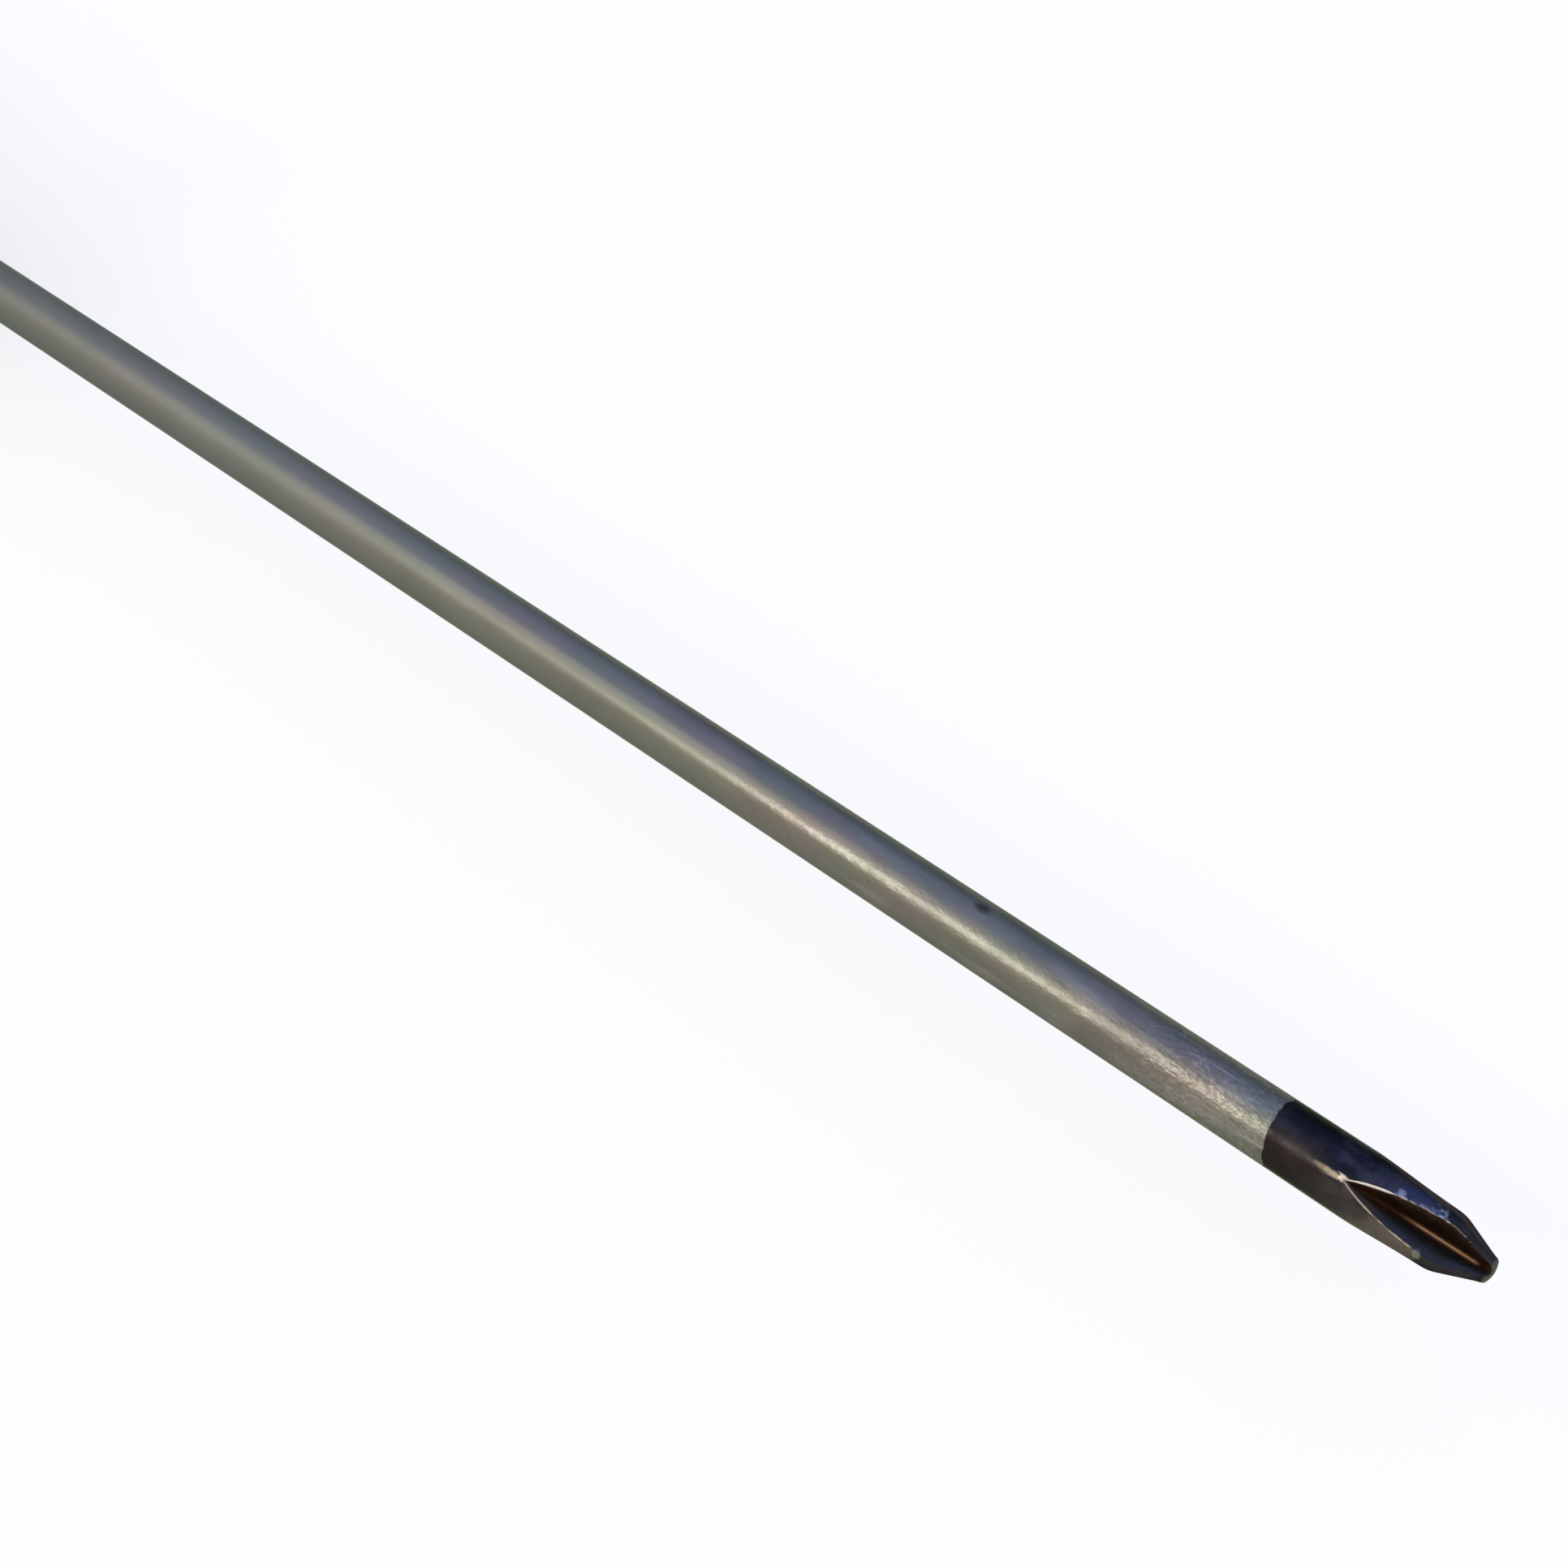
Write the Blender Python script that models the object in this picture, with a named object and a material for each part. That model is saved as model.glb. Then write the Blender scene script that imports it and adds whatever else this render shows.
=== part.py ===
"""A cross-head screwdriver with a long round blade, lying on the flats of its handle.

Metres, +Z up. Every piece is modelled about the blade's axis, with x = 0 at the front face of the
handle's nose and +X towards the point, and hangs on one empty, which lays the tool on z = 0 with
the middle of its length at x = 0. A depth is a distance back from the nose's front face.
"""

import math

import bmesh
import bpy
from mathutils import Matrix, Vector

MM = 0.001
GAP = 0.3 * MM
OVERCUT = 1.0 * MM
MERGE_DISTANCE = 0.0001 * MM
SHARP_ANGLE = math.radians(28)

# Blade: one steel bar with the point at one end and the tang at the other.
SHAFT_RADIUS = 3.0 * MM
BLADE_REACH = 200.0 * MM
TANG_COVER = 7.0 * MM
TANG_CHAMFER = 0.8 * MM
SHAFT_SIDES = 64

# Point: a cone with four V flutes, cut by a round milling cutter that runs out through the shaft.
POINT_END_RADIUS = 1.0 * MM
POINT_END_CHAMFER = 0.2 * MM
POINT_CONE_ANGLE = math.radians(26.5)
POINT_SHOULDER_RADIUS = 2.6 * MM
SHOULDER_STEPS = 3
FLUTE_COUNT = 4
FLUTE_CORE_RADIUS = 0.45 * MM
FLUTE_ROOT_SLOPE = math.radians(5.75)
FLUTE_WALL_ANGLE = math.radians(94.0)
FLUTE_STRAIGHT = 5.5 * MM
FLUTE_CUTTER_RADIUS = 22.0 * MM
FLUTE_RUN_OUT = 0.25 * MM
FLUTE_STEPS = 10
FLUTE_TURN = math.radians(39.0)

# Flukes pressed out of the tang, which stop it turning and pulling out of the moulding.
FLUKE_LENGTH = 10.0 * MM
FLUKE_TAPER = 2.5 * MM
FLUKE_SPAN = 9.0 * MM
FLUKE_THICKNESS = 2.6 * MM
FLUKE_ROOT = 0.5 * MM
FLUKE_COUNT = 2
FIRST_FLUKE_DEPTH = 42.0 * MM
FLUKE_SPACING = 38.0 * MM

# Handle: a rounded hexagon, given by its apothem and corner radius, in stretches from nose to cap.
SIDES = 6
CORNER_STEPS = 5
ROUNDEST = 0.97
NOSE_FRONT_RADIUS = 6.0 * MM
NOSE_CHAMFER = 0.7 * MM
NOSE_BACK_RADIUS = 9.0 * MM
NOSE_LENGTH = 12.5 * MM
BODY_LIP = 2.2 * MM
GUARD_APOTHEM = 16.0 * MM
GUARD_CORNER = 6.0 * MM
GUARD_RISE = 3.0 * MM
GUARD_LAND = 6.0 * MM
WAIST_APOTHEM = 12.6 * MM
WAIST_CORNER = 9.5 * MM
WAIST_FALL = 14.0 * MM
WAIST_RISE = 24.0 * MM
BELLY_CORNER = 8.0 * MM
BELLY_LENGTH = 30.0 * MM
TAIL_APOTHEM = 14.4 * MM
TAIL_CORNER = 9.0 * MM
TAIL_TAPER = 20.5 * MM
CAP_LENGTH = 12.0 * MM

# Core: the hard inner moulding round the tang, a wall's thickness inside the pads' pockets.
BODY_WALL = 0.8 * MM
CORE_LEAST_CORNER = 1.5 * MM
CORE_STEP = 4.0 * MM
SPIGOT_APOTHEM = 7.2 * MM
SPIGOT_CORNER = 3.5 * MM
SPIGOT_BEAD = 0.5 * MM
SPIGOT_LENGTH = 6.5 * MM
SPIGOT_TIP = 1.0 * MM

# Soft pads, one let into each side of the body and held there by pegs.
PAD_FRONT_MARGIN = 9.0 * MM
PAD_BACK_MARGIN = 8.0 * MM
PAD_THICKNESS = 2.3 * MM
PAD_PROUD = 0.3 * MM
RIB_WIDTH = 5.2 * MM
PAD_STATIONS = 15
PAD_STRIPS = 6
PAD_END_POWER = 3.0
PAD_END_SHARE = 0.985
PEG_RADIUS = 1.6 * MM
PEG_LENGTH = 1.4 * MM
PEG_SPACING = 16.0 * MM
PEG_SIDES = 16

# End cap, and the disc let into it.
CAP_EDGE_RADIUS = 3.0 * MM
CAP_EDGE_STEPS = 4
DISC_RADIUS = 8.0 * MM
DISC_THICKNESS = 1.4 * MM
DISC_SUNK = 0.35 * MM
DISC_PEG_RADIUS = 1.5 * MM
DISC_PEG_LENGTH = 1.6 * MM
DISC_SIDES = 48
CROSS_SPAN = 9.0 * MM
CROSS_WIDTH = 1.8 * MM
CROSS_HEIGHT = 0.25 * MM

# Depths and apothems that follow from the sizes above.
HALF_SIDE = math.pi / SIDES
GUARD_FRONT = NOSE_LENGTH + GUARD_RISE
GUARD_BACK = GUARD_FRONT + GUARD_LAND
WAIST_DEPTH = GUARD_BACK + WAIST_FALL
BELLY_FRONT = WAIST_DEPTH + WAIST_RISE
BELLY_BACK = BELLY_FRONT + BELLY_LENGTH
CAP_FRONT = BELLY_BACK + TAIL_TAPER
HANDLE_LENGTH = CAP_FRONT + CAP_LENGTH
BODY_BACK = CAP_FRONT - GAP
LIP_APOTHEM = NOSE_BACK_RADIUS + BODY_LIP
BELLY_APOTHEM = GUARD_APOTHEM - PAD_PROUD
CORE_INSET = PAD_THICKNESS + PEG_LENGTH + GAP + BODY_WALL + GAP
SPIGOT_BACK = CAP_FRONT + SPIGOT_LENGTH
TANG_DEPTH = SPIGOT_BACK - TANG_COVER
PAD_FRONT = GUARD_BACK + PAD_FRONT_MARGIN
PAD_BACK = BODY_BACK - PAD_BACK_MARGIN
PAD_MIDDLE = (PAD_FRONT + PAD_BACK) / 2
PAD_HALF_LENGTH = (PAD_BACK - PAD_FRONT) / 2
MIDDLE_X = (BLADE_REACH - HANDLE_LENGTH) / 2
AXIS_HEIGHT = max(GUARD_APOTHEM, WAIST_APOTHEM, TAIL_APOTHEM)


def clear_scene():
    for obj in list(bpy.data.objects):
        bpy.data.objects.remove(obj)


def material(name, colour, roughness, metallic=0.0):
    made = bpy.data.materials.new(name)
    made.use_nodes = True
    shader = made.node_tree.nodes["Principled BSDF"]
    shader.inputs["Base Color"].default_value = (*colour, 1.0)
    shader.inputs["Roughness"].default_value = roughness
    shader.inputs["Metallic"].default_value = metallic
    return made


def add_object(name, bm, look=None):
    """Puts a bmesh into the scene: a shaded piece if it has a material, otherwise a cutter."""
    bmesh.ops.remove_doubles(bm, verts=bm.verts, dist=MERGE_DISTANCE)
    bmesh.ops.recalc_face_normals(bm, faces=bm.faces)
    mesh = bpy.data.meshes.new(name)
    bm.to_mesh(mesh)
    bm.free()
    obj = bpy.data.objects.new(name, mesh)
    bpy.context.scene.collection.objects.link(obj)
    if look:
        mesh.materials.append(look)
        mesh.shade_smooth()
        mesh.set_sharp_from_angle(angle=SHARP_ANGLE)
    else:
        obj.hide_render = True
        obj.display_type = "WIRE"
    return obj


def combine(obj, other, operation):
    """Cuts obj by another object, or joins the other to it, and keeps only the result."""
    modifier = obj.modifiers.new(operation.lower(), "BOOLEAN")
    modifier.operation = operation
    modifier.solver = "EXACT"
    modifier.object = other
    bpy.context.view_layer.update()
    graph = bpy.context.evaluated_depsgraph_get()
    result = bpy.data.meshes.new_from_object(obj.evaluated_get(graph))
    obj.modifiers.clear()
    obj.data = result
    bpy.data.objects.remove(other)


def loft(rings):
    """A closed solid through rings of equally many points, with a flat face over each end."""
    bm = bmesh.new()
    loops = [[bm.verts.new(point) for point in ring] for ring in rings]
    for near, far in zip(loops, loops[1:]):
        for i in range(len(near)):
            j = (i + 1) % len(near)
            bm.faces.new((near[i], near[j], far[j], far[i]))
    bm.faces.new(loops[0])
    bm.faces.new(loops[-1])
    return bm


def revolve(profile, sides):
    """A solid turned about the X axis from (x, radius) points that begin and end on it."""
    bm = bmesh.new()
    points = [bm.verts.new((x, 0.0, radius)) for x, radius in profile]
    edges = [bm.edges.new(pair) for pair in zip(points, points[1:])]
    bmesh.ops.spin(
        bm,
        geom=points + edges,
        axis=(1.0, 0.0, 0.0),
        cent=(0.0, 0.0, 0.0),
        angle=2 * math.pi,
        steps=sides,
        use_merge=True,
    )
    return bm


def box(low, high):
    bm = bmesh.new()
    bmesh.ops.create_cube(bm, size=1.0)
    size = Vector(high) - Vector(low)
    middle = (Vector(high) + Vector(low)) / 2
    bmesh.ops.transform(bm, matrix=Matrix.Diagonal((*size, 1.0)), verts=bm.verts)
    bmesh.ops.translate(bm, vec=middle, verts=bm.verts)
    return bm


def turn(bm, angle):
    """Turns a shape about the blade's axis, from +Z towards -Y."""
    matrix = Matrix.Rotation(angle, 3, "X")
    bmesh.ops.rotate(bm, cent=(0.0, 0.0, 0.0), matrix=matrix, verts=bm.verts)
    return bm


# Blade


def point_profile():
    """The point's (x, radius) outline: flat end, chamfer, cone, and a round shoulder to the shaft."""
    slope = math.tan(POINT_CONE_ANGLE)
    cone_length = (SHAFT_RADIUS - POINT_END_RADIUS) / slope
    tangent = POINT_SHOULDER_RADIUS * math.tan(POINT_CONE_ANGLE / 2)
    shoulder_back = BLADE_REACH - cone_length - tangent
    outline = [
        (BLADE_REACH, 0.0),
        (BLADE_REACH, POINT_END_RADIUS - POINT_END_CHAMFER),
        (BLADE_REACH - POINT_END_CHAMFER / slope, POINT_END_RADIUS + POINT_END_CHAMFER),
    ]
    for step in range(SHOULDER_STEPS, -1, -1):
        angle = POINT_CONE_ANGLE * step / SHOULDER_STEPS
        x = shoulder_back + POINT_SHOULDER_RADIUS * math.sin(angle)
        radius = SHAFT_RADIUS - POINT_SHOULDER_RADIUS * (1 - math.cos(angle))
        outline.append((x, radius))
    return outline


def flute_root(back):
    """Distance of a flute's root from the axis, this far back from the end of the point.

    A straight slope first, then the circle of the milling cutter, tangent to it.
    """
    if back <= FLUTE_STRAIGHT:
        return FLUTE_CORE_RADIUS + back * math.tan(FLUTE_ROOT_SLOPE)
    start = FLUTE_CORE_RADIUS + FLUTE_STRAIGHT * math.tan(FLUTE_ROOT_SLOPE)
    sine = math.sin(FLUTE_ROOT_SLOPE) + (back - FLUTE_STRAIGHT) / FLUTE_CUTTER_RADIUS
    rise = math.cos(FLUTE_ROOT_SLOPE) - math.sqrt(1 - sine * sine)
    return start + FLUTE_CUTTER_RADIUS * rise


def flute_length():
    """How far back the cutter's circle comes out clear of the shaft."""
    start = FLUTE_CORE_RADIUS + FLUTE_STRAIGHT * math.tan(FLUTE_ROOT_SLOPE)
    rise = (SHAFT_RADIUS + FLUTE_RUN_OUT - start) / FLUTE_CUTTER_RADIUS
    cosine = math.cos(FLUTE_ROOT_SLOPE) - rise
    run = math.sqrt(1 - cosine * cosine) - math.sin(FLUTE_ROOT_SLOPE)
    return FLUTE_STRAIGHT + FLUTE_CUTTER_RADIUS * run


def flute_cutter(direction):
    """A V-shaped bar along one flute's root, standing out past the shaft."""
    top = SHAFT_RADIUS + FLUTE_RUN_OUT + OVERCUT
    curved = flute_length() - FLUTE_STRAIGHT
    backs = [FLUTE_STRAIGHT + curved * step / FLUTE_STEPS for step in range(FLUTE_STEPS + 1)]
    rings = []
    for back in (-OVERCUT, *backs):
        root = flute_root(back)
        half_width = (top - root) * math.tan(FLUTE_WALL_ANGLE / 2)
        x = BLADE_REACH - back
        rings.append([(x, 0.0, root), (x, half_width, top), (x, -half_width, top)])
    return add_object("flute_cutter", turn(loft(rings), direction))


def fluke(depth, direction, spread):
    """A flat lozenge across the tang, thickened all round by spread."""
    half_span = FLUKE_SPAN / 2 + spread
    half_thickness = FLUKE_THICKNESS / 2 + spread
    foot = SHAFT_RADIUS - FLUKE_ROOT
    half_length = FLUKE_LENGTH / 2 + spread
    half_crest = FLUKE_LENGTH / 2 - FLUKE_TAPER
    outline = (
        (-half_length, foot),
        (-half_crest, half_span),
        (half_crest, half_span),
        (half_length, foot),
    )
    rings = [
        [
            (x - depth, -half, -half_thickness),
            (x - depth, half, -half_thickness),
            (x - depth, half, half_thickness),
            (x - depth, -half, half_thickness),
        ]
        for x, half in outline
    ]
    return turn(loft(rings), direction)


def add_flukes(obj, spread=0.0):
    """Joins the flukes to a tang, each square to the one before."""
    for index in range(FLUKE_COUNT):
        depth = FIRST_FLUKE_DEPTH + index * FLUKE_SPACING
        shape = fluke(depth, index * math.pi / 2, spread)
        combine(obj, add_object("fluke", shape), "UNION")


def make_blade(steel):
    outline = [
        *point_profile(),
        (-TANG_DEPTH + TANG_CHAMFER, SHAFT_RADIUS),
        (-TANG_DEPTH, SHAFT_RADIUS - TANG_CHAMFER),
        (-TANG_DEPTH, 0.0),
    ]
    blade = add_object("blade", revolve(outline, SHAFT_SIDES), steel)
    for index in range(FLUTE_COUNT):
        direction = FLUTE_TURN + index * 2 * math.pi / FLUTE_COUNT
        combine(blade, flute_cutter(direction), "DIFFERENCE")
    add_flukes(blade)
    return blade


# Handle forms


def eased(share):
    """0 to 1 with a level start and end."""
    return share * share * (3 - 2 * share)


def form_at(depth, keys):
    """(apothem, corner radius) at a depth, eased between the (depth, apothem, corner) keys."""
    for (d0, a0, c0), (d1, a1, c1) in zip(keys, keys[1:]):
        if d0 <= depth <= d1:
            share = eased((depth - d0) / (d1 - d0))
            return a0 + (a1 - a0) * share, c0 + (c1 - c0) * share
    nearest = keys[0] if depth < keys[0][0] else keys[-1]
    return nearest[1], nearest[2]


def section(depth, apothem, corner):
    """One ring of the rounded hexagon, with a flat side at the bottom."""
    corner = min(corner, ROUNDEST * apothem)
    reach = (apothem - corner) / math.cos(HALF_SIDE)
    ring = []
    for index in range(SIDES):
        middle = HALF_SIDE * (2 * index + 1) - math.pi / 2
        for step in range(CORNER_STEPS + 1):
            angle = middle + HALF_SIDE * (2 * step / CORNER_STEPS - 1)
            y = reach * math.cos(middle) + corner * math.cos(angle)
            z = reach * math.sin(middle) + corner * math.sin(angle)
            ring.append((-depth, y, z))
    return ring


def form_loft(keys, steps, spread=0.0):
    """A solid along the keys, with this many rings from each key to the next, spread outwards."""
    depths = []
    for (d0, _, _), (d1, _, _), count in zip(keys, keys[1:], steps):
        depths += [d0 + (d1 - d0) * step / count for step in range(count)]
    depths.append(keys[-1][0])
    rings = []
    for depth in depths:
        apothem, corner = form_at(depth, keys)
        rings.append(section(depth, apothem + spread, corner + spread))
    return loft(rings)


HANDLE_KEYS = (
    (NOSE_LENGTH, LIP_APOTHEM, ROUNDEST * LIP_APOTHEM),
    (GUARD_FRONT, GUARD_APOTHEM, GUARD_CORNER),
    (GUARD_BACK, GUARD_APOTHEM, GUARD_CORNER),
    (WAIST_DEPTH, WAIST_APOTHEM, WAIST_CORNER),
    (BELLY_FRONT, BELLY_APOTHEM, BELLY_CORNER),
    (BELLY_BACK, BELLY_APOTHEM, BELLY_CORNER),
    (BODY_BACK, TAIL_APOTHEM, TAIL_CORNER),
)
HANDLE_STEPS = (4, 1, 7, 8, 1, 6)


def core_key(depth, apothem, corner):
    """The core's form inside the body's form at a depth."""
    return depth, apothem - CORE_INSET, max(corner - CORE_INSET, CORE_LEAST_CORNER)


CORE_KEYS = (
    (0.0, NOSE_FRONT_RADIUS - NOSE_CHAMFER, NOSE_FRONT_RADIUS - NOSE_CHAMFER),
    (NOSE_CHAMFER, NOSE_FRONT_RADIUS, NOSE_FRONT_RADIUS),
    (NOSE_LENGTH, NOSE_BACK_RADIUS, NOSE_BACK_RADIUS),
    core_key(NOSE_LENGTH + CORE_STEP, WAIST_APOTHEM, WAIST_CORNER),
    core_key(WAIST_DEPTH, WAIST_APOTHEM, WAIST_CORNER),
    core_key(BELLY_FRONT, BELLY_APOTHEM, BELLY_CORNER),
    core_key(BELLY_BACK, BELLY_APOTHEM, BELLY_CORNER),
    core_key(BODY_BACK - GAP, TAIL_APOTHEM, TAIL_CORNER),
    (BODY_BACK, SPIGOT_APOTHEM, SPIGOT_CORNER),
    (CAP_FRONT + SPIGOT_LENGTH / 4, SPIGOT_APOTHEM, SPIGOT_CORNER),
    (CAP_FRONT + SPIGOT_LENGTH / 2, SPIGOT_APOTHEM + SPIGOT_BEAD, SPIGOT_CORNER),
    (SPIGOT_BACK - SPIGOT_TIP, SPIGOT_APOTHEM, SPIGOT_CORNER),
    (SPIGOT_BACK, SPIGOT_APOTHEM - SPIGOT_TIP, SPIGOT_CORNER),
)
CORE_STEPS = (1, 3, 2, 1, 6, 1, 4, 1, 1, 1, 1, 1)


def make_core(plastic):
    """The inner moulding, with the tang's shape left in it."""
    core = add_object("handle_core", form_loft(CORE_KEYS, CORE_STEPS), plastic)
    bore = [
        (OVERCUT, 0.0),
        (OVERCUT, SHAFT_RADIUS + GAP),
        (-TANG_DEPTH - GAP, SHAFT_RADIUS + GAP),
        (-TANG_DEPTH - GAP, 0.0),
    ]
    tang = add_object("tang_cutter", revolve(bore, SHAFT_SIDES // 2))
    add_flukes(tang, GAP)
    combine(core, tang, "DIFFERENCE")
    return core


# Soft pads


def surface_height(depth, across):
    """The body's distance from the axis along a side's normal, off the side's middle by across."""
    apothem, corner = form_at(depth, HANDLE_KEYS)
    flat = (apothem - corner) * math.tan(HALF_SIDE)
    past = max(0.0, abs(across) - flat)
    return apothem - corner + math.sqrt(corner * corner - past * past)


def pad_half_width(depth):
    """Half the pad's width: up to the rib left along each corner, drawn in to round ends."""
    apothem, corner = form_at(depth, HANDLE_KEYS)
    corner_middle = (apothem - corner) * math.tan(HALF_SIDE) + corner * math.sin(HALF_SIDE)
    share = abs(depth - PAD_MIDDLE) / PAD_HALF_LENGTH
    drawn_in = (1 - share**PAD_END_POWER) ** (1 / PAD_END_POWER)
    return (corner_middle - RIB_WIDTH / 2) * drawn_in


def strip_loft(spread, rises, floor):
    """A strip let into the bottom side: rises above the surface across it, floor below it."""
    rings = []
    for station in range(PAD_STATIONS):
        share = -PAD_END_SHARE * math.cos(math.pi * station / (PAD_STATIONS - 1))
        depth = PAD_MIDDLE + PAD_HALF_LENGTH * share
        x = -depth - spread * share
        half_width = pad_half_width(depth) + spread
        across = [half_width * (2 * strip / PAD_STRIPS - 1) for strip in range(PAD_STRIPS + 1)]
        heights = [surface_height(depth, y) for y in across]
        top = [(x, y, -height - rise) for y, height, rise in zip(across, heights, rises)]
        bottom = [(x, y, -height + floor) for y, height in zip(across, heights)]
        rings.append([*top, *reversed(bottom)])
    return loft(rings)


def add_pegs(obj, spread=0.0):
    """Joins the two pegs under a pad to it, or to the shape that cuts its pocket."""
    floor = BELLY_APOTHEM - PAD_THICKNESS
    top = floor + PAD_THICKNESS / 2
    bottom = floor - PEG_LENGTH - spread
    for x in (-PAD_MIDDLE - PEG_SPACING / 2, -PAD_MIDDLE + PEG_SPACING / 2):
        bm = bmesh.new()
        bmesh.ops.create_cone(
            bm,
            cap_ends=True,
            segments=PEG_SIDES,
            radius1=PEG_RADIUS + spread,
            radius2=PEG_RADIUS + spread,
            depth=top - bottom,
        )
        bmesh.ops.translate(bm, vec=(x, 0.0, -(top + bottom) / 2), verts=bm.verts)
        combine(obj, add_object("peg", bm), "UNION")


def make_pads(rubber):
    """A pad for each side, the first at the bottom; they share one mesh."""
    rises = [0.0, *[PAD_PROUD] * (PAD_STRIPS - 1), 0.0]
    first = add_object("grip_pad_1", strip_loft(0.0, rises, PAD_THICKNESS - GAP), rubber)
    add_pegs(first)
    pads = [first]
    for index in range(1, SIDES):
        pad = bpy.data.objects.new(f"grip_pad_{index + 1}", first.data)
        bpy.context.scene.collection.objects.link(pad)
        pad.rotation_euler.x = 2 * HALF_SIDE * index
        pads.append(pad)
    return pads


def make_body(plastic):
    """The outer moulding: guard, waist and belly, open at both ends round the core."""
    body = add_object("handle_body", form_loft(HANDLE_KEYS, HANDLE_STEPS), plastic)
    core = form_loft(CORE_KEYS, CORE_STEPS, GAP)
    combine(body, add_object("core_cutter", core), "DIFFERENCE")
    for index in range(SIDES):
        rises = [PAD_PROUD + OVERCUT] * (PAD_STRIPS + 1)
        pocket = add_object("pocket", strip_loft(GAP, rises, PAD_THICKNESS))
        add_pegs(pocket, GAP)
        pocket.rotation_euler.x = 2 * HALF_SIDE * index
        combine(body, pocket, "DIFFERENCE")
    return body


# End cap


def cap_rings():
    """The cap's rings: on from the body's tail, then round its edge to the flat end."""
    rings = [section(CAP_FRONT, TAIL_APOTHEM, TAIL_CORNER)]
    for step in range(CAP_EDGE_STEPS + 1):
        angle = math.pi / 2 * step / CAP_EDGE_STEPS
        depth = HANDLE_LENGTH - CAP_EDGE_RADIUS * (1 - math.sin(angle))
        inset = CAP_EDGE_RADIUS * (1 - math.cos(angle))
        rings.append(section(depth, TAIL_APOTHEM - inset, TAIL_CORNER - inset))
    return rings


def disc_profile(face, spread=0.0):
    """The disc and its peg, from the front of the peg back to a face at this depth."""
    front = HANDLE_LENGTH - DISC_SUNK - DISC_THICKNESS
    peg_front = front - DISC_PEG_LENGTH
    return [
        (spread - peg_front, 0.0),
        (spread - peg_front, DISC_PEG_RADIUS + spread),
        (spread - front, DISC_PEG_RADIUS + spread),
        (spread - front, DISC_RADIUS + spread),
        (-face, DISC_RADIUS + spread),
        (-face, 0.0),
    ]


def make_cap(plastic):
    cap = add_object("end_cap", loft(cap_rings()), plastic)
    spigot = form_loft(CORE_KEYS, CORE_STEPS, GAP)
    combine(cap, add_object("spigot_cutter", spigot), "DIFFERENCE")
    recess = revolve(disc_profile(HANDLE_LENGTH + OVERCUT, GAP), DISC_SIDES)
    combine(cap, add_object("disc_cutter", recess), "DIFFERENCE")
    return cap


def make_disc(plastic):
    """The disc in the cap's end, with a raised plain cross that shows the kind of point."""
    face = HANDLE_LENGTH - DISC_SUNK
    disc = add_object("cap_disc", revolve(disc_profile(face), DISC_SIDES), plastic)
    long, short = CROSS_SPAN / 2, CROSS_WIDTH / 2
    for y, z in ((long, short), (short, long)):
        low = (-face - CROSS_HEIGHT, -y, -z)
        high = (-face + DISC_THICKNESS / 2, y, z)
        combine(disc, add_object("cross_arm", box(low, high)), "UNION")
    return disc


def main():
    clear_scene()
    steel = material("blade_steel", (0.17, 0.165, 0.14), 0.32, 1.0)
    core_plastic = material("core_plastic", (0.035, 0.037, 0.042), 0.45)
    body_plastic = material("body_plastic", (0.02, 0.13, 0.36), 0.35)
    rubber = material("pad_rubber", (0.03, 0.031, 0.033), 0.75)
    disc_plastic = material("disc_plastic", (0.55, 0.56, 0.57), 0.4)
    axis = bpy.data.objects.new("tool_axis", None)
    bpy.context.scene.collection.objects.link(axis)
    pieces = [
        make_blade(steel),
        make_core(core_plastic),
        make_body(body_plastic),
        *make_pads(rubber),
        make_cap(core_plastic),
        make_disc(disc_plastic),
    ]
    for piece in pieces:
        piece.parent = axis
    axis.location = (-MIDDLE_X, 0.0, AXIS_HEIGHT)


main()
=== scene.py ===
"""Finished looks for a cross-head screwdriver with a long plated blade.

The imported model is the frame, in metres with +Z up: the blade's axis runs along +X at z = 0.016, and
the tool lies on z = 0. Every piece that shows gets a fine skin, worked out on a grid of rings along
the tool, which stands for the CAD node of the same form. A depth is a distance back from the front
face of the handle's nose, and a reach back is a distance from the flat end of the point.
"""

import bpy
import numpy as np
from mathutils import Matrix


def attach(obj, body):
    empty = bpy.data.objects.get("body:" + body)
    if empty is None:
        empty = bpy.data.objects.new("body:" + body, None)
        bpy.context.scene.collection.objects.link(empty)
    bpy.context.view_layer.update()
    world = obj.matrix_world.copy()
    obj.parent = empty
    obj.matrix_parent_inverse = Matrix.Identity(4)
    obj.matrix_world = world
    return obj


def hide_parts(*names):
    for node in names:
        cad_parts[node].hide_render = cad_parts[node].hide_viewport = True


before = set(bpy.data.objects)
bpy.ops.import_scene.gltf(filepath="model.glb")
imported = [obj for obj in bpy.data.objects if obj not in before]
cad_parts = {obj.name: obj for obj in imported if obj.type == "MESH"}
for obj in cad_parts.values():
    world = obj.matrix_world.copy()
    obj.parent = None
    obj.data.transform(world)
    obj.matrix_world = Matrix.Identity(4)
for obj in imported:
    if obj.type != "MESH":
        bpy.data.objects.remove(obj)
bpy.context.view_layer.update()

MM = 0.001
NOSE_X = -39.0 * MM
AXIS_Z = 16.0 * MM
GAP = 0.3 * MM

SHAFT = 3.0 * MM
BLADE_REACH = 200.0 * MM
FLUTES_END = 13.6 * MM
PLAIN_SHAFT = 24.0 * MM
IN_HANDLE = 10.0 * MM
TANG_DEPTH = 109.5 * MM
TANG_CHAMFER = 0.8 * MM

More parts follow.
